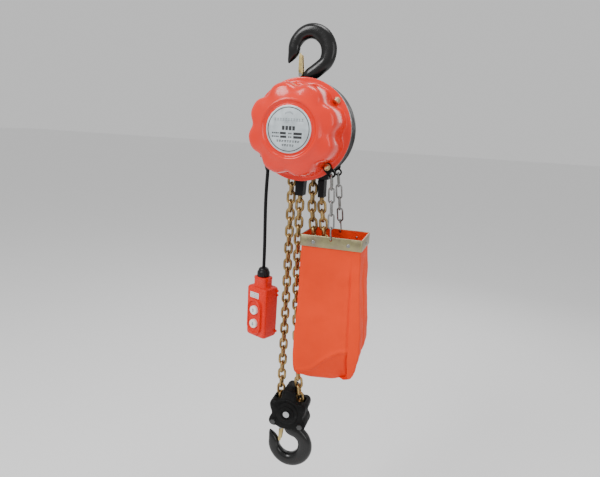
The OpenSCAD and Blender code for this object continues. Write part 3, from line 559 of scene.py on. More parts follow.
def make_nameplate():
    """Foil plate with a thin printed ring, rows of generic dashes and blocks."""
    low, high = (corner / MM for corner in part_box("nameplate"))
    face, radius = -low.y, (high.x - low.x) / 2
    foil = ring_mesh("nameplate_foil", [front_circle(face - d, r) for d, r in (
        (1, radius), (0.35, radius), (0.18, radius - 0.25), (0.15, radius - 0.8),
        (0.15, radius / 2), (0.15, 1))])
    add_piece("nameplate_foil", foil, "nameplate")

    ink = face - 0.16
    bm = bmesh.new()
    add_rings(bm, [front_circle(ink + d, r) for d, r in
                   ((0, 38.9), (0.12, 38.9), (0.12, 37.4), (0, 37.4))], join_ends=True)
    for k in range(4):
        add_bar(bm, -9.6 + 6.4 * k, 2.2, 4.9, 7.4, ink)
    for row, z in ((0, -7), (1, -13.2)):
        for k in range(4):
            add_bar(bm, -29 + 3.4 * k, z, 2.4, 2.6 - 0.4 * (k % 2), ink)
        add_bar(bm, -10 + row, z, 11.5, 4.2, ink)
        for k in range(2):
            add_bar(bm, 1.5 + 3.6 * k, z, 2.5, 2.6, ink)
        add_bar(bm, 17.5, z, 15.5, 4.4, ink)
    for z, count, step in ((-20.6, 9, 4.9), (-27.8, 5, 4.7)):
        for k in range(count):
            x = (k - (count - 1) / 2) * step
            add_bar(bm, x, z + 0.9, 3.4, 1.3 + 0.4 * (k % 2), ink)
            add_bar(bm, x - 0.3 * (k % 3), z - 1.2, 2.6 + 0.4 * (k % 3), 1.2, ink)
    add_detail("nameplate_print", bm, "nameplate", LOOKS["print_ink"].material)

    bm = bmesh.new()
    for k in range(11):
        x = (k - 5) * 5
        add_bar(bm, x, 15.2, 3.6, 1.1, ink)
        add_bar(bm, x, 18.4, 3.0 - 0.5 * (k % 2), 1.0, ink)
        add_bar(bm, x + 0.4 * (k % 3 - 1), 16.9, 0.9, 4.2, ink)
    add_detail("nameplate_print_pale", bm, "nameplate", PRINT_GREY)

    bm = bmesh.new()
    for k in range(-3, 4):
        add_bar(bm, k * 2.2, 29.5 - 0.25 * k ** 2, 1.2, 3.2, ink)
    add_detail("nameplate_emblem", bm, "nameplate", PRINT_GREY)


def nut_ring(base, depth, radius, round_off, count=48):
    """A ring that goes from a hexagon, at round_off 0, to a circle, at 1."""
    ring = []
    for k in range(count):
        angle = 2 * math.pi * k / count
        turned = (angle + math.pi / 6) % (math.pi / 3) - math.pi / 6
        flat = math.cos(math.pi / 6) / math.cos(turned)
        r = radius * (round_off + 1.06 * flat * (1 - round_off))
        ring.append(base + Vector((r * math.cos(angle), -depth, r * math.sin(angle))) * MM)
    return ring


def make_cover_bolts():
    """Cap nuts with flats, domes and washers, where the CAD bolts are."""
    bm = bmesh.new()
    for points in islands("cover_bolts"):
        low, high = points.min(0), points.max(0)
        if high[1] - low[1] < 0.005:
            continue
        base = Vector(((low[0] + high[0]) / 2, 0, (low[2] + high[2]) / 2))
        tip = -low[1] / MM
        add_lathe(bm, base, -Y, [(25.2, 3), (tip - 10.1, 3), (tip - 10.05, 6.4), (tip - 9.9, 6.6),
                                 (tip - 9, 6.6), (tip - 8.85, 6.2), (tip - 8.8, 4)], 40)
        add_rings(bm, [nut_ring(base, tip - back, radius, round_off) for back, radius, round_off in (
            (8.8, 5.5, 0), (4.9, 5.7, 0), (4.3, 5.3, 0.5), (3.9, 4.9, 1), (3, 4.6, 1), (1.6, 3.7, 1),
            (0.5, 2.1, 1), (0, 0.4, 1))])
    add_piece("cap_nuts", bm, "cover_bolts")


make_cover()
make_nameplate()
make_cover_bolts()


# ---- hooks and latches ----

SHANK_R = 12
BOTTOM_HOOK_SCALE = 1.06
AXLE_RADIUS = 0.007
AXLE_TO_HOOK_CENTRE = 0.092


def hook_stations(neck, shank_end):
    """(x, z, half width, half thickness) along a hook that opens to -X, from its shank to its beak."""
    bowl = []
    for k in range(16):
        angle = -38 + 14.5 * k
        line = np.interp(angle, (-38, 0, 45, 90, 135, 180), (38.6, 37, 35, 34, 32.5, 32.7))
        width = np.interp(angle, (-38, 0, 45, 90, 135, 180), (13.6, 15.6, 15.4, 14, 12.5, 11.8))
        thickness = np.interp(angle, (-38, 90, 180), (11.5, 12, 10))
        bowl.append((line * math.cos(math.radians(angle)), line * math.sin(math.radians(angle)),
                     width, thickness))
    tip = [(-34.6, -7, 10.2, 9), (-37.6, -14, 7.4, 7.5), (-40.6, -20, 4.4, 5), (-42.9, -25, 1.3, 1.8)]
    line = smooth_line(neck + [(20, -33, 13.4, 11.5)] + bowl + tip, 4)
    return [(0, shank_end, SHANK_R, SHANK_R), (0, neck[0][1] - 3, SHANK_R, SHANK_R)] + line


def hook_mesh(name, neck, scale, centre_z, flip, shank_end, collar=None, sides=40):
    """A forged hook swept along its stations, with a flattened oval section."""
    stations = hook_stations(neck, shank_end)
    rings = []
    for i, (x, z, width, thickness) in enumerate(stations):
        before, after = stations[max(i - 1, 0)], stations[min(i + 1, len(stations) - 1)]
        dx, dz = after[0] - before[0], after[1] - before[1]
        length = math.hypot(dx, dz)
        dx, dz = dx / length, dz / length
        power = 1 if i < 3 else 0.86
        ring = []
        for k in range(sides):
            angle = 2 * math.pi * k / sides
            c, s = math.cos(angle), math.sin(angle)
            w = width * math.copysign(abs(c) ** power, c)
            t = thickness * math.copysign(abs(s) ** power, s)
            point = Vector((x + w * dz, t, z - w * dx)) * scale * MM
            if flip:
                point.z = -point.z
            ring.append(point + Vector((0, 0, centre_z)))
        rings.append(ring)
    bm = bmesh.new()
    add_rings(bm, rings)
    if collar:
        add_lathe(bm, Vector(), Z, collar)
    return finish_mesh(name, bm)


def add_ear(bm, pivot, reach):
    """The lug that carries a latch's pin."""
    outline = [pivot + Vector((4.2 * math.cos(a), 0, 4.2 * math.sin(a))) * MM
               for a in np.linspace(math.pi / 2, 3 * math.pi / 2, 13)]
    outline += [pivot + Vector((reach, 0, -4.2)) * MM, pivot + Vector((reach, 0, 4.2)) * MM]
    add_rings(bm, [[p + Y * y * MM for p in outline] for y in (-3.5, 3.5)])


def pivot_of(pin_node):
    """The middle of a pin."""
    low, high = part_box(pin_node)
    return (low + high) / 2


def make_hooks():
    """Both hooks, the lower one turned over and a little larger, with ears for their latches."""
    top_neck = [(0, -54.5, 10.8, 10.8), (0, -51.5, 11.6, 11.6), (2, -46.2, 12.6, 12.2),
                (11, -40, 13.4, 11.8)]
    bottom_neck = [(0, -42, 11, 11), (0.5, -40.5, 11.4, 11.4), (4, -37.8, 12.6, 11.8),
                   (12, -35.2, 13, 11.7)]
    mesh = hook_mesh("top_hook_forging", top_neck, 1.0, 0, False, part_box("top_hook")[0].z / MM)
    top = add_piece("top_hook_forging", mesh, "top_hook")
    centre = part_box("block_axle")[0].z + AXLE_RADIUS - AXLE_TO_HOOK_CENTRE
    shank_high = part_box("bottom_hook")[1].z
    shank_end = -(shank_high - centre) / MM / BOTTOM_HOOK_SCALE
    collar = [(shank_high / MM - drop, r) for drop, r in
              ((3, 12.5), (3, 15.6), (2.6, 16), (0.4, 16), (0, 15.6), (0, 12))]
    mesh = hook_mesh("bottom_hook_forging", bottom_neck, BOTTOM_HOOK_SCALE, centre, True, shank_end,
                     collar)
    bottom = add_piece("bottom_hook_forging", mesh, "bottom_hook")
    for hook, pin, reach in ((top, "top_latch_pin", 8), (bottom, "bottom_latch_pin", 9)):
        with editing(hook.data) as bm:
            add_ear(bm, pivot_of(pin), reach)
        for polygon in hook.data.polygons:
            polygon.use_smooth = len(polygon.vertices) == 4 and polygon.area < 4e-5


SPRING_TURNS = 2.5


def make_latch_spring(name, pin, node, up):
    """The small torsion spring wound on a latch's pin, with one leg along the latch."""
    pivot = pivot_of(pin)
    line = []
    for k in range(61):
        angle = 2 * math.pi * SPRING_TURNS * k / 60
        line.append(pivot + Vector((3 * math.cos(angle), -6.6 - 1.9 * k / 60, 3 * math.sin(angle))) * MM)
    line.append(line[-1] + Vector((0, 0, up * 9)) * MM)
    curve = bpy.data.curves.new(name, "CURVE")
    curve.dimensions = "3D"
    curve.bevel_depth = 0.0006
    curve.bevel_resolution = 3
    curve.use_fill_caps = True
    spline = curve.splines.new("POLY")
    spline.points.add(len(line) - 1)
    for target, point in zip(spline.points, line):
        target.co = (*point, 1)
    curve.materials.append(LOOKS["bright_zinc"].material)
    obj = put_in_scene(name, curve)
    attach(obj, BODY_OF[node])


make_hooks()
make_latch_spring("top_latch_spring", "top_latch_pin", "top_latch", 1)
make_latch_spring("bottom_latch_spring", "bottom_latch_pin", "bottom_latch", -1)


# ---- load chain and the bag's chains ----

LINK_HALF_LENGTH, LINK_HALF_WIDTH, LINK_WIRE_RADIUS = 12, 7, 2.85


def principal_axes(points):
    """A link's centre, its long axis and the normal of its plane."""
    centre = (points.min(0) + points.max(0)) / 2
    _, _, rows = np.linalg.svd(points - points.mean(0), full_matrices=False)
    return Vector(centre), Vector(rows[0]), Vector(rows[2])


def add_link(bm, centre, along, normal, sides=14):
    """A round-wire link with a slight weld swelling on one leg."""
    across = normal.cross(along).normalized()
    half_width = LINK_HALF_WIDTH
    straight = LINK_HALF_LENGTH - half_width
    line = []
    for k in range(11):
        angle = math.pi * k / 10
        line.append((half_width * math.cos(angle), straight + half_width * math.sin(angle)))
    line += [(-half_width, straight * t) for t in (0.5, 0.16, 0, -0.16, -0.5)]
    for k in range(11):
        angle = math.pi + math.pi * k / 10
        line.append((half_width * math.cos(angle), -straight + half_width * math.sin(angle)))
    line += [(half_width, straight * t) for t in (-0.5, 0, 0.5)]
    rings = []
    for i, (u, v) in enumerate(line):
        before, after = line[i - 1], line[(i + 1) % len(line)]
        tangent = Vector((after[0] - before[0], after[1] - before[1])).normalized()
        wire = LINK_WIRE_RADIUS * (1.05 if u < 0 and abs(v) < 0.5 else 1)
        ring = []
        for k in range(sides):
            angle = 2 * math.pi * k / sides
            radial, rise = wire * math.cos(angle), wire * math.sin(angle)
            ring.append(centre + ((u + radial * tangent.y) * across
                                  + (v - radial * tangent.x) * along + rise * normal) * MM)
        rings.append(ring)
    add_rings(bm, rings, join_ends=True)


def make_chain(node, bend=None):
    """Every link of a CAD chain node, rebuilt smooth in its own place."""
    bm = bmesh.new()
    for points in islands(node):
        add_link(bm, *principal_axes(points))
    return add_piece(node + "_links", bm, node, bend)


for chain_node in ("sheave_chain", "chain_heap"):
    make_chain(chain_node)
for chain_node in ("slack_fall", "tail_fall"):
    make_chain(chain_node, ("hoist_body", "chain_bag", (0, 0, -0.25), (0, 0, -0.4)))
for chain_node in ("live_fall", "dead_fall"):
    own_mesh(make_chain(chain_node))


# ---- hook block ----

BLOCK_Z = pivot_of("block_axle").z / MM
BLOCK_FACE = 26.0
AXLE_HOLE_R = 7.3


def block_outline():
    """(x, z from the axle) round one half of the block: dome, ears, waist, bolt lobes and foot."""
    right = [(0, 55), (7.5, 53.6), (12.6, 49), (14.6, 42), (15.2, 34), (18, 27.5), (25, 25.2),
             (32, 26), (38.4, 22.5), (41.2, 15.5), (40, 6), (36.6, -3), (36.2, -10), (40, -17),
             (42.2, -25.5), (39.4, -33.6), (32, -37.4), (25, -36.4), (20.5, -38.2), (15, -39.8)]
    left = [(-x, z) for x, z in right[:0:-1]]
    loop = right + [(0, -40)] + left
    closed = smooth_line(loop + [loop[0]], 4)[:-1]
    return [(float(x), float(z)) for x, z in closed]


def inset(outline, distance):
    """An outline moved inwards along its own normals."""
    moved = []
    for i, (x, z) in enumerate(outline):
        ax, az = outline[i - 1]
        bx, bz = outline[(i + 1) % len(outline)]
        length = math.hypot(bx - ax, bz - az)
        moved.append((x - distance * (bz - az) / length, z + distance * (bx - ax) / length))
    return moved


def cut_with(obj, cutter_mesh):
    """Takes the cutter's closed solids out of a piece."""
    cutter = put_in_scene("cutter", cutter_mesh)
    apply_modifier(obj, "BOOLEAN", operation="DIFFERENCE", object=cutter, solver="EXACT")
    bpy.data.objects.remove(cutter)
    bpy.data.meshes.remove(cutter_mesh)


def add_box(bm, low, high):
    """A box between two corners in millimetres."""
    corners = [(low[0], low[1]), (high[0], low[1]), (high[0], high[1]), (low[0], high[1])]
    add_rings(bm, [[Vector((x, y, z)) * MM for x, y in corners] for z in (low[2], high[2])])


def hollow_block_half(obj, axle, side):
    """Takes the sheave's pocket, the axle's hole, the hook's seat and the chain slots out of a half."""
    outward = Y * side
    inside = axle - outward * 0.002
    hook_seat = axle - Z * 0.03
    for base, axis, radius, length in ((inside, outward, 34, 15.4), (inside, outward, 7.1, 40),
                                       (hook_seat, -Z, 16.5, 8), (hook_seat, -Z, 12.2, 20)):
        bm = bmesh.new()
        add_lathe(bm, base, axis, [(0, radius), (length, radius)], 64)
        cut_with(obj, finish_mesh("cutter", bm))
    for low, high in ((-34.3, -13.1), (8.2, 34.3)):
        bm = bmesh.new()
        add_box(bm, (low, -11, BLOCK_Z), (high, 11, BLOCK_Z + 70))
        cut_with(obj, finish_mesh("cutter", bm))


def add_block_bosses(bm, axle, side):
    """The axle's two steps, the bolt pads, the ear studs and the raised arch on a half's face."""
    outward = Y * side
    start = axle + outward * (BLOCK_FACE - 1) * MM
    cross = Z.cross(outward)
    for profile in ([(0, 25.5), (2, 25.4), (3.3, 24.6), (4, 23), (4, AXLE_HOLE_R)],
                    [(3, 17.6), (5.4, 17.2), (6.3, 16), (6.3, 12.4), (5, 11.6), (5, AXLE_HOLE_R)]):
        add_rings(bm, [circle(start + outward * d * MM, r * MM, Z, cross, 64)
                       for d, r in profile + [(0, AXLE_HOLE_R)]], join_ends=True)
    for x in (-31, 31):
        pad = Vector((x * MM, side * (BLOCK_FACE - 1) * MM, (BLOCK_Z - 26) * MM))
        add_lathe(bm, pad, outward, [(0, 8.6), (0.9, 8.4), (1.2, 7.8), (1.2, 1)])
        ear = Vector((x * 1.05 * MM, side * (BLOCK_FACE - 2) * MM, (BLOCK_Z + 14) * MM))
        add_lathe(bm, ear, outward, [(0, 7), (1.5, 6.6), (2.8, 5.4), (3.4, 3.4), (3.6, 0.5)])
    arch = []
    for k in range(25):
        angle = math.radians(35 + 110 * k / 24)
        radial = Vector((math.cos(angle), 0, math.sin(angle)))
        centre = axle + (radial * 31 + outward * (BLOCK_FACE - 0.6)) * MM
        taper = math.sin(math.pi * (0.12 + 0.76 * k / 24)) ** 0.4
        arch.append(circle(centre, 2.6 * MM * taper, radial, outward, 12))
    add_rings(bm, arch)


def make_block_half(name, node, side):
    """One casting of the block; side is -1 in front and 1 behind."""
    outline = block_outline()
    area = sum(a[0] * b[1] - b[0] * a[1] for a, b in zip(outline, outline[1:] + outline[:1]))
    sign = -1 if area > 0 else 1
    rings = []
    for depth, distance in ((0.15, 0), (BLOCK_FACE - 4, 0), (BLOCK_FACE - 2.2, 0.5),
                            (BLOCK_FACE - 0.8, 1.7), (BLOCK_FACE, 3.4)):
        rings.append([Vector((x * MM, side * depth * MM, (BLOCK_Z + z) * MM))
                      for x, z in inset(outline, -sign * distance)])
    obj = add_piece(name, ring_mesh(name, rings), node)
    axle = Vector((0, 0, BLOCK_Z * MM))
    hollow_block_half(obj, axle, side)
    with editing(obj.data) as bm:
        add_block_bosses(bm, axle, side)
    return obj


def smooth_by_angle(obj, degrees=38):
    """Shades a piece smooth except across edges sharper than the angle."""
    mesh = obj.data
    for polygon in mesh.polygons:
        polygon.use_smooth = True
    mesh.set_sharp_from_angle(angle=math.radians(degrees))


for half_name, half_node, half_side in (("block_front_casting", "block_front_half", -1),
                                        ("block_rear_casting", "block_rear_half", 1)):
    smooth_by_angle(make_block_half(half_name, half_node, half_side))


# ---- chain bag ----

RIM_LOW, RIM_HIGH = (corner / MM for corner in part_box("bag_rim"))
BAG_X = (RIM_LOW.x + RIM_HIGH.x) / 2
BAG_HALF_W = (RIM_HIGH.x - RIM_LOW.x) / 2 - 2.3
BAG_HALF_D = (RIM_HIGH.y - RIM_LOW.y) / 2 - 2.3
BAG_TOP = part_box("chain_bag")[1].z / MM
BAG_DEPTH = BAG_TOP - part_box("chain_bag")[0].z / MM
RIM_CORNER_R = 3
CLOTH_THICKNESS = 0.0008


def bag_section(depth):
    """Left, right, front, back and corner radius of the bag at a depth below its top."""
    stations = (0, 24, 60, 95, 140, 185, 225, 255, 280, 294, 303)
    left = (0, 0, -0.6, -0.8, -0.8, -0.6, -0.2, 0.6, 2, 4, 8)
    right = (0, 0, 2, 5, 9.5, 12.6, 13.8, 12, 8, 4, -1)
    front = (0, 0, -1.4, -3, -5.4, -7, -7.6, -6.6, -3.6, 0, 6)
    back = (0, 0, 1.6, 3.6, 6, 7, 6, 3, -4, -10, -20)
    radius = (2.6, 2.6, 3.4, 3.6, 4, 4.2, 4.6, 5, 6, 7, 8)
    at = [float(np.interp(depth, stations, row)) for row in (left, right, front, back, radius)]
    return (BAG_X - BAG_HALF_W + at[0], BAG_X + BAG_HALF_W + at[1], -BAG_HALF_D + at[2],
            BAG_HALF_D + at[3], at[4])


def bag_loop(depth, along=88, across=56, corner=7):
    """Closed ring of (x, y, place, share of that side) round the bag; place is 0 at the front,
    1 on the right, 2 at the back and 3 on the left."""
    left, right, front, back, r = bag_section(depth)
    loop = []
    sides = (((left + r, front), (right - r, front), along),
             ((right, front + r), (right, back - r), across),
             ((right - r, back), (left + r, back), along),
             ((left, back - r), (left, front + r), across))
    centres = ((right - r, front + r), (right - r, back - r), (left + r, back - r),
               (left + r, front + r))
    for place, ((start, end, count), centre) in enumerate(zip(sides, centres)):
        for k in range(count):
            t = k / count
            loop.append((start[0] + (end[0] - start[0]) * t, start[1] + (end[1] - start[1]) * t,
                         place, t))
        for k in range(corner):
            angle = math.radians(-90 + 90 * place + 90 * k / corner)
            loop.append((centre[0] + r * math.cos(angle), centre[1] + r * math.sin(angle), place, 1.0))
    return loop


def ramp_up(value, low, high):
    """0 below low, 1 above high and a smooth step between them."""
    t = min(1.0, max(0.0, (value - low) / (high - low)))
    return t * t * (3 - 2 * t)


WRINKLES = ((0.012, 2.2, 3.1), (0.034, 1.1, 9.4), (0.09, 0.4, 5.0))


def bag_point(x, y, place, t, depth):
    """Folds and sag: a pressed crease down the front's right part, a bottom fold and soft wrinkles."""
    free = ramp_up(depth, 24, 84)
    low = ramp_up(depth, 150, BAG_DEPTH)
    z = BAG_TOP - depth
    at_left = ramp_up(BAG_X - 20 - x, 0, 40)
    at_right = ramp_up(x - BAG_X - 15, 0, 40)
    at_front = ramp_up(-y, 0, 36)
    if place == 0:
        crease = BAG_X + 43.5 + 7 * depth / BAG_DEPTH
        y += 2.2 * free * math.exp(-((x - crease) / 1.5) ** 2)
        y -= 1.6 * free * math.exp(-((x - crease + 5) / 4) ** 2)
        fold = 290 - 62 * ramp_up(x, BAG_X - 58, crease)
        below = depth - fold
        if x < crease + 1:
            y -= 3.2 * math.exp(-(below / 5) ** 2) * free
            if below > 0:
                y += 0.26 * below * ramp_up(below, 0, 7)
    if place == 1:
        pleat = math.exp(-((t - 0.5) / 0.07) ** 2)
        x -= 6 * free * pleat * ramp_up(depth, 0, 220)
        x -= 0.35 * max(0, depth - 246) * (1 - abs(2 * t - 1))
    if place == 3:
        x += 2.4 * free * math.exp(-((t - 0.5) / 0.2) ** 2)
    x -= 7.5 * low * at_left * at_front
    point = Vector((x, y, z))
    offset = sum((wobble(point, *layer) for layer in WRINKLES), Vector())
    point += offset * free
    base = ramp_up(depth, 215, BAG_DEPTH)
    across = (x - BAG_X) / BAG_HALF_W
    point.z += base * (6 * across ** 2 - 6 + 24 * at_right * (1 - at_front) + 9 * at_right * at_front)
    return point * MM


def make_bag():
    """The cloth bag as one continuous shell with its mouth inside the rim."""
    bm = bmesh.new()
    depths = [0, 6, 12, 18] + [24 + (BAG_DEPTH - 26) * (k / 120) for k in range(121)]
    rows = [[bm.verts.new(bag_point(*entry, depth)) for entry in bag_loop(depth)]
            for depth in depths]
    count = len(rows[0])
    wall = rows[-1]
    centre = sum((v.co for v in wall), Vector()) / count
    for share in (0.82, 0.62, 0.42, 0.22):
        ring = []
        for v in wall:
            spot = centre + (v.co - centre) * share
            spot.z = min(spot.z, centre.z) - 0.0008
            ring.append(bm.verts.new(spot + wobble(spot / MM, 0.06, 0.0006, 2.0)))
        rows.append(ring)
    for high, low in zip(rows, rows[1:]):
        for k in range(count):
            j = (k + 1) % count
            bm.faces.new((high[k], low[k], low[j], high[j]))
    bm.faces.new(rows[-1])
    mesh = finish_mesh("bag_cloth_shell", bm)
    bag = add_piece("bag_cloth_shell", mesh, "chain_bag")
    apply_modifier(bag, "SOLIDIFY", thickness=CLOTH_THICKNESS, offset=-1.0)
    smooth_by_angle(bag, 60)


def make_rim():
    """Bent steel strip with small rolled edges and a hole for a hanger hook in front and behind."""
    rings = []
    half_w, half_d = (RIM_HIGH.x - RIM_LOW.x) / 2, (RIM_HIGH.y - RIM_LOW.y) / 2
    top, bottom = RIM_HIGH.z, RIM_LOW.z
    profile = ((0.25, bottom), (0, bottom + 0.4), (0, top - 0.5), (0.3, top - 0.1), (0.8, top),
               (1.7, top), (2, top - 0.4), (2, bottom + 0.4), (1.7, bottom))
    for into, z in profile:
        corner = rounded_rectangle(half_w - into, half_d - into, RIM_CORNER_R - into, 9)
        rings.append([Vector((BAG_X + x, y, z)) * MM for x, y in corner])
    mesh = ring_mesh("bag_rim_strip", rings, join_ends=True)
    rim = add_piece("bag_rim_strip", mesh, "bag_rim")
    bm = bmesh.new()
    for side in (-1, 1):
        spot = Vector((BAG_X * MM, side * (half_d - 5) * MM, (top - 6) * MM))
        add_lathe(bm, spot, Y * side, [(0, 2.6), (10, 2.6)], 32)
    cut_with(rim, finish_mesh("cutter", bm))
    smooth_by_angle(rim)


def make_rivets():
    """Domed rivet heads outside the rim with their flat tails inside."""
    bm = bmesh.new()
    centre = Vector((BAG_X, 0, 0)) * MM
    for points in islands("bag_rivets"):
        low, high = Vector(points.min(0)), Vector(points.max(0))
        middle = (low + high) / 2
        flat = Vector((middle.x - centre.x, middle.y, 0))
        outward = Y * math.copysign(1, flat.y) if abs(flat.y) > 0.03 else X * math.copysign(1, flat.x)
        depth = abs((high - low).dot(outward)) / 2
        base = middle - outward * depth
        add_lathe(bm, base, outward, [(0, 1.9), (4.6, 1.9), (4.62, 3.7), (4.8, 3.75), (5.2, 3.5),
                                      (5.7, 2.7), (6, 1.5), (6.05, 0.3)], 32)
    add_piece("rim_rivets", bm, "bag_rivets")


make_rim()
make_bag()
make_rivets()


# ---- pendant ----

PENDANT_YAW = math.radians(-23.5)
PENDANT_AT = Vector((CABLE_ROUTE[-1][0], CABLE_ROUTE[-1][1], 0))
PENDANT_TOP = -498.0
PENDANT_H = 118.0
PENDANT_MID = PENDANT_TOP - PENDANT_H / 2
PENDANT_HALF_W = 29.0
PENDANT_HALF_D = 22.0
BEZEL_Z = PENDANT_MID - 9
BUTTON_GAP = 32.0
SPLIT_Y = PENDANT_HALF_D - 9
BEZEL_STRAIGHT = 21.0


def pendant_point(x, y, z):
    """The frame's point for x, y in the pendant's own turned axes and z in the frame's."""
    c, s = math.cos(PENDANT_YAW), math.sin(PENDANT_YAW)
    return Vector((PENDANT_AT.x + x * c - y * s, PENDANT_AT.y + x * s + y * c, z)) * MM


PENDANT_FRONT = (pendant_point(0, -1, 0) - pendant_point(0, 0, 0)).normalized()
PENDANT_SIDE = (pendant_point(1, 0, 0) - pendant_point(0, 0, 0)).normalized()


def rounded_section(half_w, half_d, radius, z):
    """A level ring round the pendant, with rounded corners."""
    return [pendant_point(x, y, z) for x, y in rounded_rectangle(half_w, half_d, radius, 10)]


def keep_side(mesh, point, normal):
    """Cuts a closed mesh at a plane, keeps the side the normal points to and closes the cut."""
    bm = bmesh.new()
    bm.from_mesh(mesh)
    geometry = bm.verts[:] + bm.edges[:] + bm.faces[:]
    cut = bmesh.ops.bisect_plane(bm, geom=geometry, plane_co=point, plane_no=normal, clear_inner=True)
    edges = [e for e in cut["geom_cut"] if isinstance(e, bmesh.types.BMEdge)]
    bmesh.ops.contextual_create(bm, geom=edges)
    return finish_mesh(mesh.name + "_part", bm)


def pendant_body_mesh():
    """The pendant's outer form, before it is parted into case and back cover."""
    top, bottom = PENDANT_TOP, PENDANT_TOP - PENDANT_H
    rows = [(top, 6), (top - 0.4, 3.6), (top - 1.3, 1.8), (top - 3, 0.6), (top - 5.5, 0), (top - 40, 0),
            (top - 80, 0.2), (bottom + 8, 0.6), (bottom + 4.5, 1.2), (bottom + 2.2, 2.6),
            (bottom + 0.8, 4.6), (bottom, 7.4)]
    return ring_mesh("pendant_body", [rounded_section(PENDANT_HALF_W - i, PENDANT_HALF_D - i, 6.5, z)
                                      for z, i in rows])


def stadium(half_w, straight, y, count=20):
    """An upright oval on the pendant's front: two half circles joined by straight sides."""
    ring = []
    for half in (0, 1):
        for k in range(count + 1):
            angle = math.pi * (half + k / count)
            ring.append(pendant_point(half_w * math.cos(angle), y,
                                      BEZEL_Z + straight * (1 - 2 * half) + half_w * math.sin(angle)))
    return ring


def add_case_details(bm, top):
    """The neck, the raised oval bezel, the round eye beside the neck and a stud on the side."""
    add_rings(bm, [rounded_section(18.5 - i, 15 - i, 9 - i, z) for z, i in
                   ((top - 4, -1.2), (top - 0.5, -1.2), (top + 1, 0), (top + 8, 0.2), (top + 16, 0.1),
                    (top + 17, -0.5), (top + 20.5, -0.5), (top + 21.6, 0.1), (top + 22, 1.2))])
    add_rings(bm, [stadium(r, BEZEL_STRAIGHT, y) for y, r in (
        (-21, 20.6), (-21.8, 20.3), (-23, 20), (-26.4, 20), (-27.6, 19.7), (-28.3, 19), (-28.5, 18.1),
        (-28.2, 17.2), (-27, 16.5), (-24.8, 15.9), (-23.6, 14.8), (-23.3, 13), (-23.3, 6))])
    add_lathe(bm, pendant_point(17.6, -3, top + 16), PENDANT_FRONT,
              [(-3, 3.6), (-2.6, 4), (2.6, 4), (3, 3.6), (3, 1.6), (2, 1.4)], 32)
    add_lathe(bm, pendant_point(24.5, 8, top - 16), PENDANT_SIDE, [(0, 3), (5.6, 2.8), (6.2, 2)], 24)


def make_pendant():
    """Moulded case with neck and raised oval bezel, and a back cover with lugs."""
    body = pendant_body_mesh()
    joint = pendant_point(0, SPLIT_Y, 0)
    case = keep_side(body, joint, PENDANT_FRONT)
    with editing(case) as bm:
        add_case_details(bm, PENDANT_TOP)
    obj = add_piece("pendant_case_shell", case, "pendant_case")
    smooth_by_angle(obj, 40)

    cover = keep_side(body, pendant_point(0, SPLIT_Y + 0.25, 0), -PENDANT_FRONT)
    with editing(cover) as bm:
        for z in (-46, 40, 50):
            add_lathe(bm, pendant_point(PENDANT_HALF_W + 0.8, SPLIT_Y + 3, PENDANT_MID + z),
                      PENDANT_FRONT, [(-2, 2.7), (-1.6, 3), (1.6, 3), (2, 2.7)], 28)
    bpy.data.meshes.remove(body)
    obj = add_piece("pendant_rear_shell", cover, "pendant_back_cover")
    smooth_by_angle(obj, 40)


def make_pendant_gland():
    """Black ribbed nut and dome that grip the cable."""
    rows = ((6, 11, 0), (22, 11, 0), (22.1, 13.4, 0), (23, 13.9, 0.2), (25, 13.9, 0.3), (32, 13.8, 0.3),
            (34, 13.3, 0.1), (35.2, 12.4, 0), (36, 11.7, 0), (38.4, 11.5, 0), (40.4, 10.6, 0),
            (41.9, 8.8, 0), (42.8, 6.5, 0), (43, 4.4, 0), (42, 3.8, 0))
    rings = []
    for h, radius, rib in rows:
        ring = []
        for k in range(144):
            angle = 2 * math.pi * k / 144
            r = radius + rib * math.tanh(3 * math.cos(18 * angle))
            ring.append(pendant_point(r * math.cos(angle), r * math.sin(angle), PENDANT_TOP + h))
        rings.append(ring)
    obj = add_piece("pendant_gland_nut", ring_mesh("pendant_gland_nut", rings), "pendant_gland")
    smooth_by_angle(obj, 45)


def front_panel(bm, x, z, width, height, y, depth=0.3):
    """A thin rectangular pad on the pendant's front."""
    corners = ((-1, -1), (1, -1), (1, 1), (-1, 1))
    add_rings(bm, [[pendant_point(x + a * width / 2, d, z + b * height / 2) for a, b in corners]
                   for d in (y, y - depth)])


def make_label():
    """A white label above the bezel with rows of generic dashes."""
    z = PENDANT_TOP - 19
    bm = bmesh.new()
    front_panel(bm, -4, z, 26, 13, -PENDANT_HALF_D + 0.05, 0.35)
    add_detail("pendant_label", bm, "pendant_case", LABEL_WHITE)
    bm = bmesh.new()
    for row in range(3):
        for k in range(5):
            front_panel(bm, -13 + 4.4 * k, z + 3.8 - 3.8 * row, 3.1 - 0.8 * ((k + row) % 2), 1.7,
                        -PENDANT_HALF_D - 0.28, 0.1)
    add_detail("pendant_label_marks", bm, "pendant_case", PRINT_GREY)


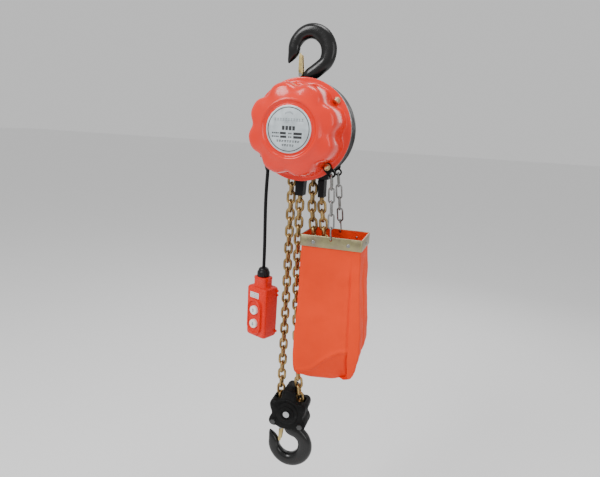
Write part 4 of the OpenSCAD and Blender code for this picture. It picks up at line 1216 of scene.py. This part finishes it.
def make_button(name, node, up):
    """A white push button with a dished face and a generic arrow."""
    z = BEZEL_Z + up * BUTTON_GAP / 2
    bm = bmesh.new()
    add_lathe(bm, pendant_point(0, 0, z), PENDANT_FRONT,
              [(PENDANT_HALF_D + d, r) for d, r in
               ((-6, 4), (-4.7, 4), (-4.7, 12), (-3.2, 12), (-3.2, 9.8), (6.4, 10), (7.4, 9.7),
                (7.9, 9), (8, 8.2), (7.8, 7.2), (7.5, 5), (7.4, 1))], 56)
    button = add_piece(name + "_cap", bm, node)
    smooth_by_angle(button, 50)
    bm = bmesh.new()
    arrow = [(0, 4.6), (3.4, 0.6), (1.3, 0.6), (1.3, -4), (-1.3, -4), (-1.3, 0.6), (-3.4, 0.6)]
    add_rings(bm, [[pendant_point(x, y, z + up * h) for x, h in arrow]
                   for y in (-PENDANT_HALF_D - 7.35, -PENDANT_HALF_D - 7.75)])
    add_detail(name + "_arrow", bm, node, PRINT_GREY)


make_pendant()
make_pendant_gland()
make_label()
make_button("up_button", "up_button", 1)
make_button("down_button", "down_button", -1)


# ---- floor and light ----

FLOOR_DROP = 0.35


def make_stage():
    """A white floor some way below the hoist, and an even white surround."""
    floor_z = cad_box[0].z - FLOOR_DROP
    bm = bmesh.new()
    bmesh.ops.create_grid(bm, x_segments=2, y_segments=2, size=30)
    bmesh.ops.translate(bm, verts=bm.verts, vec=(0, 0, floor_z))
    mesh = finish_mesh("floor", bm)
    floor = put_in_scene("floor", mesh)
    mesh.materials.append(Look("floor_white", (0.9, 0.9, 0.9), 0.9, specular=0.1).material)
    world = bpy.data.worlds.new("studio")
    world.use_nodes = True
    background = world.node_tree.nodes["Background"]
    background.inputs["Color"].default_value = (1, 1, 1, 1)
    background.inputs["Strength"].default_value = 0.7
    bpy.context.scene.world = world


def add_light(name, place, target, size, power, size_y=None):
    """An area light turned to a target, square unless it has a size_y."""
    data = bpy.data.lights.new(name, "AREA")
    data.energy = power
    data.size = size
    if size_y:
        data.shape = "RECTANGLE"
        data.size_y = size_y
    light = put_in_scene(name, data)
    light.location = place
    light.rotation_euler = (Vector(target) - Vector(place)).to_track_quat("-Z", "Y").to_euler()


make_stage()
add_light("key", (-1.1, -1.9, 1.3), (0, 0, -0.35), 0.9, 50, 1.3)
add_light("fill", (1.9, -1.3, 0.2), (0, 0, -0.4), 1.0, 12, 1.6)
add_light("top", (0.3, -0.2, 1.8), (0, 0, -0.2), 1.0, 26)
add_light("back", (0.4, 2.2, 0.6), (0, 0, -0.4), 1.4, 12)


# ---- last update ----

bpy.context.view_layer.update()
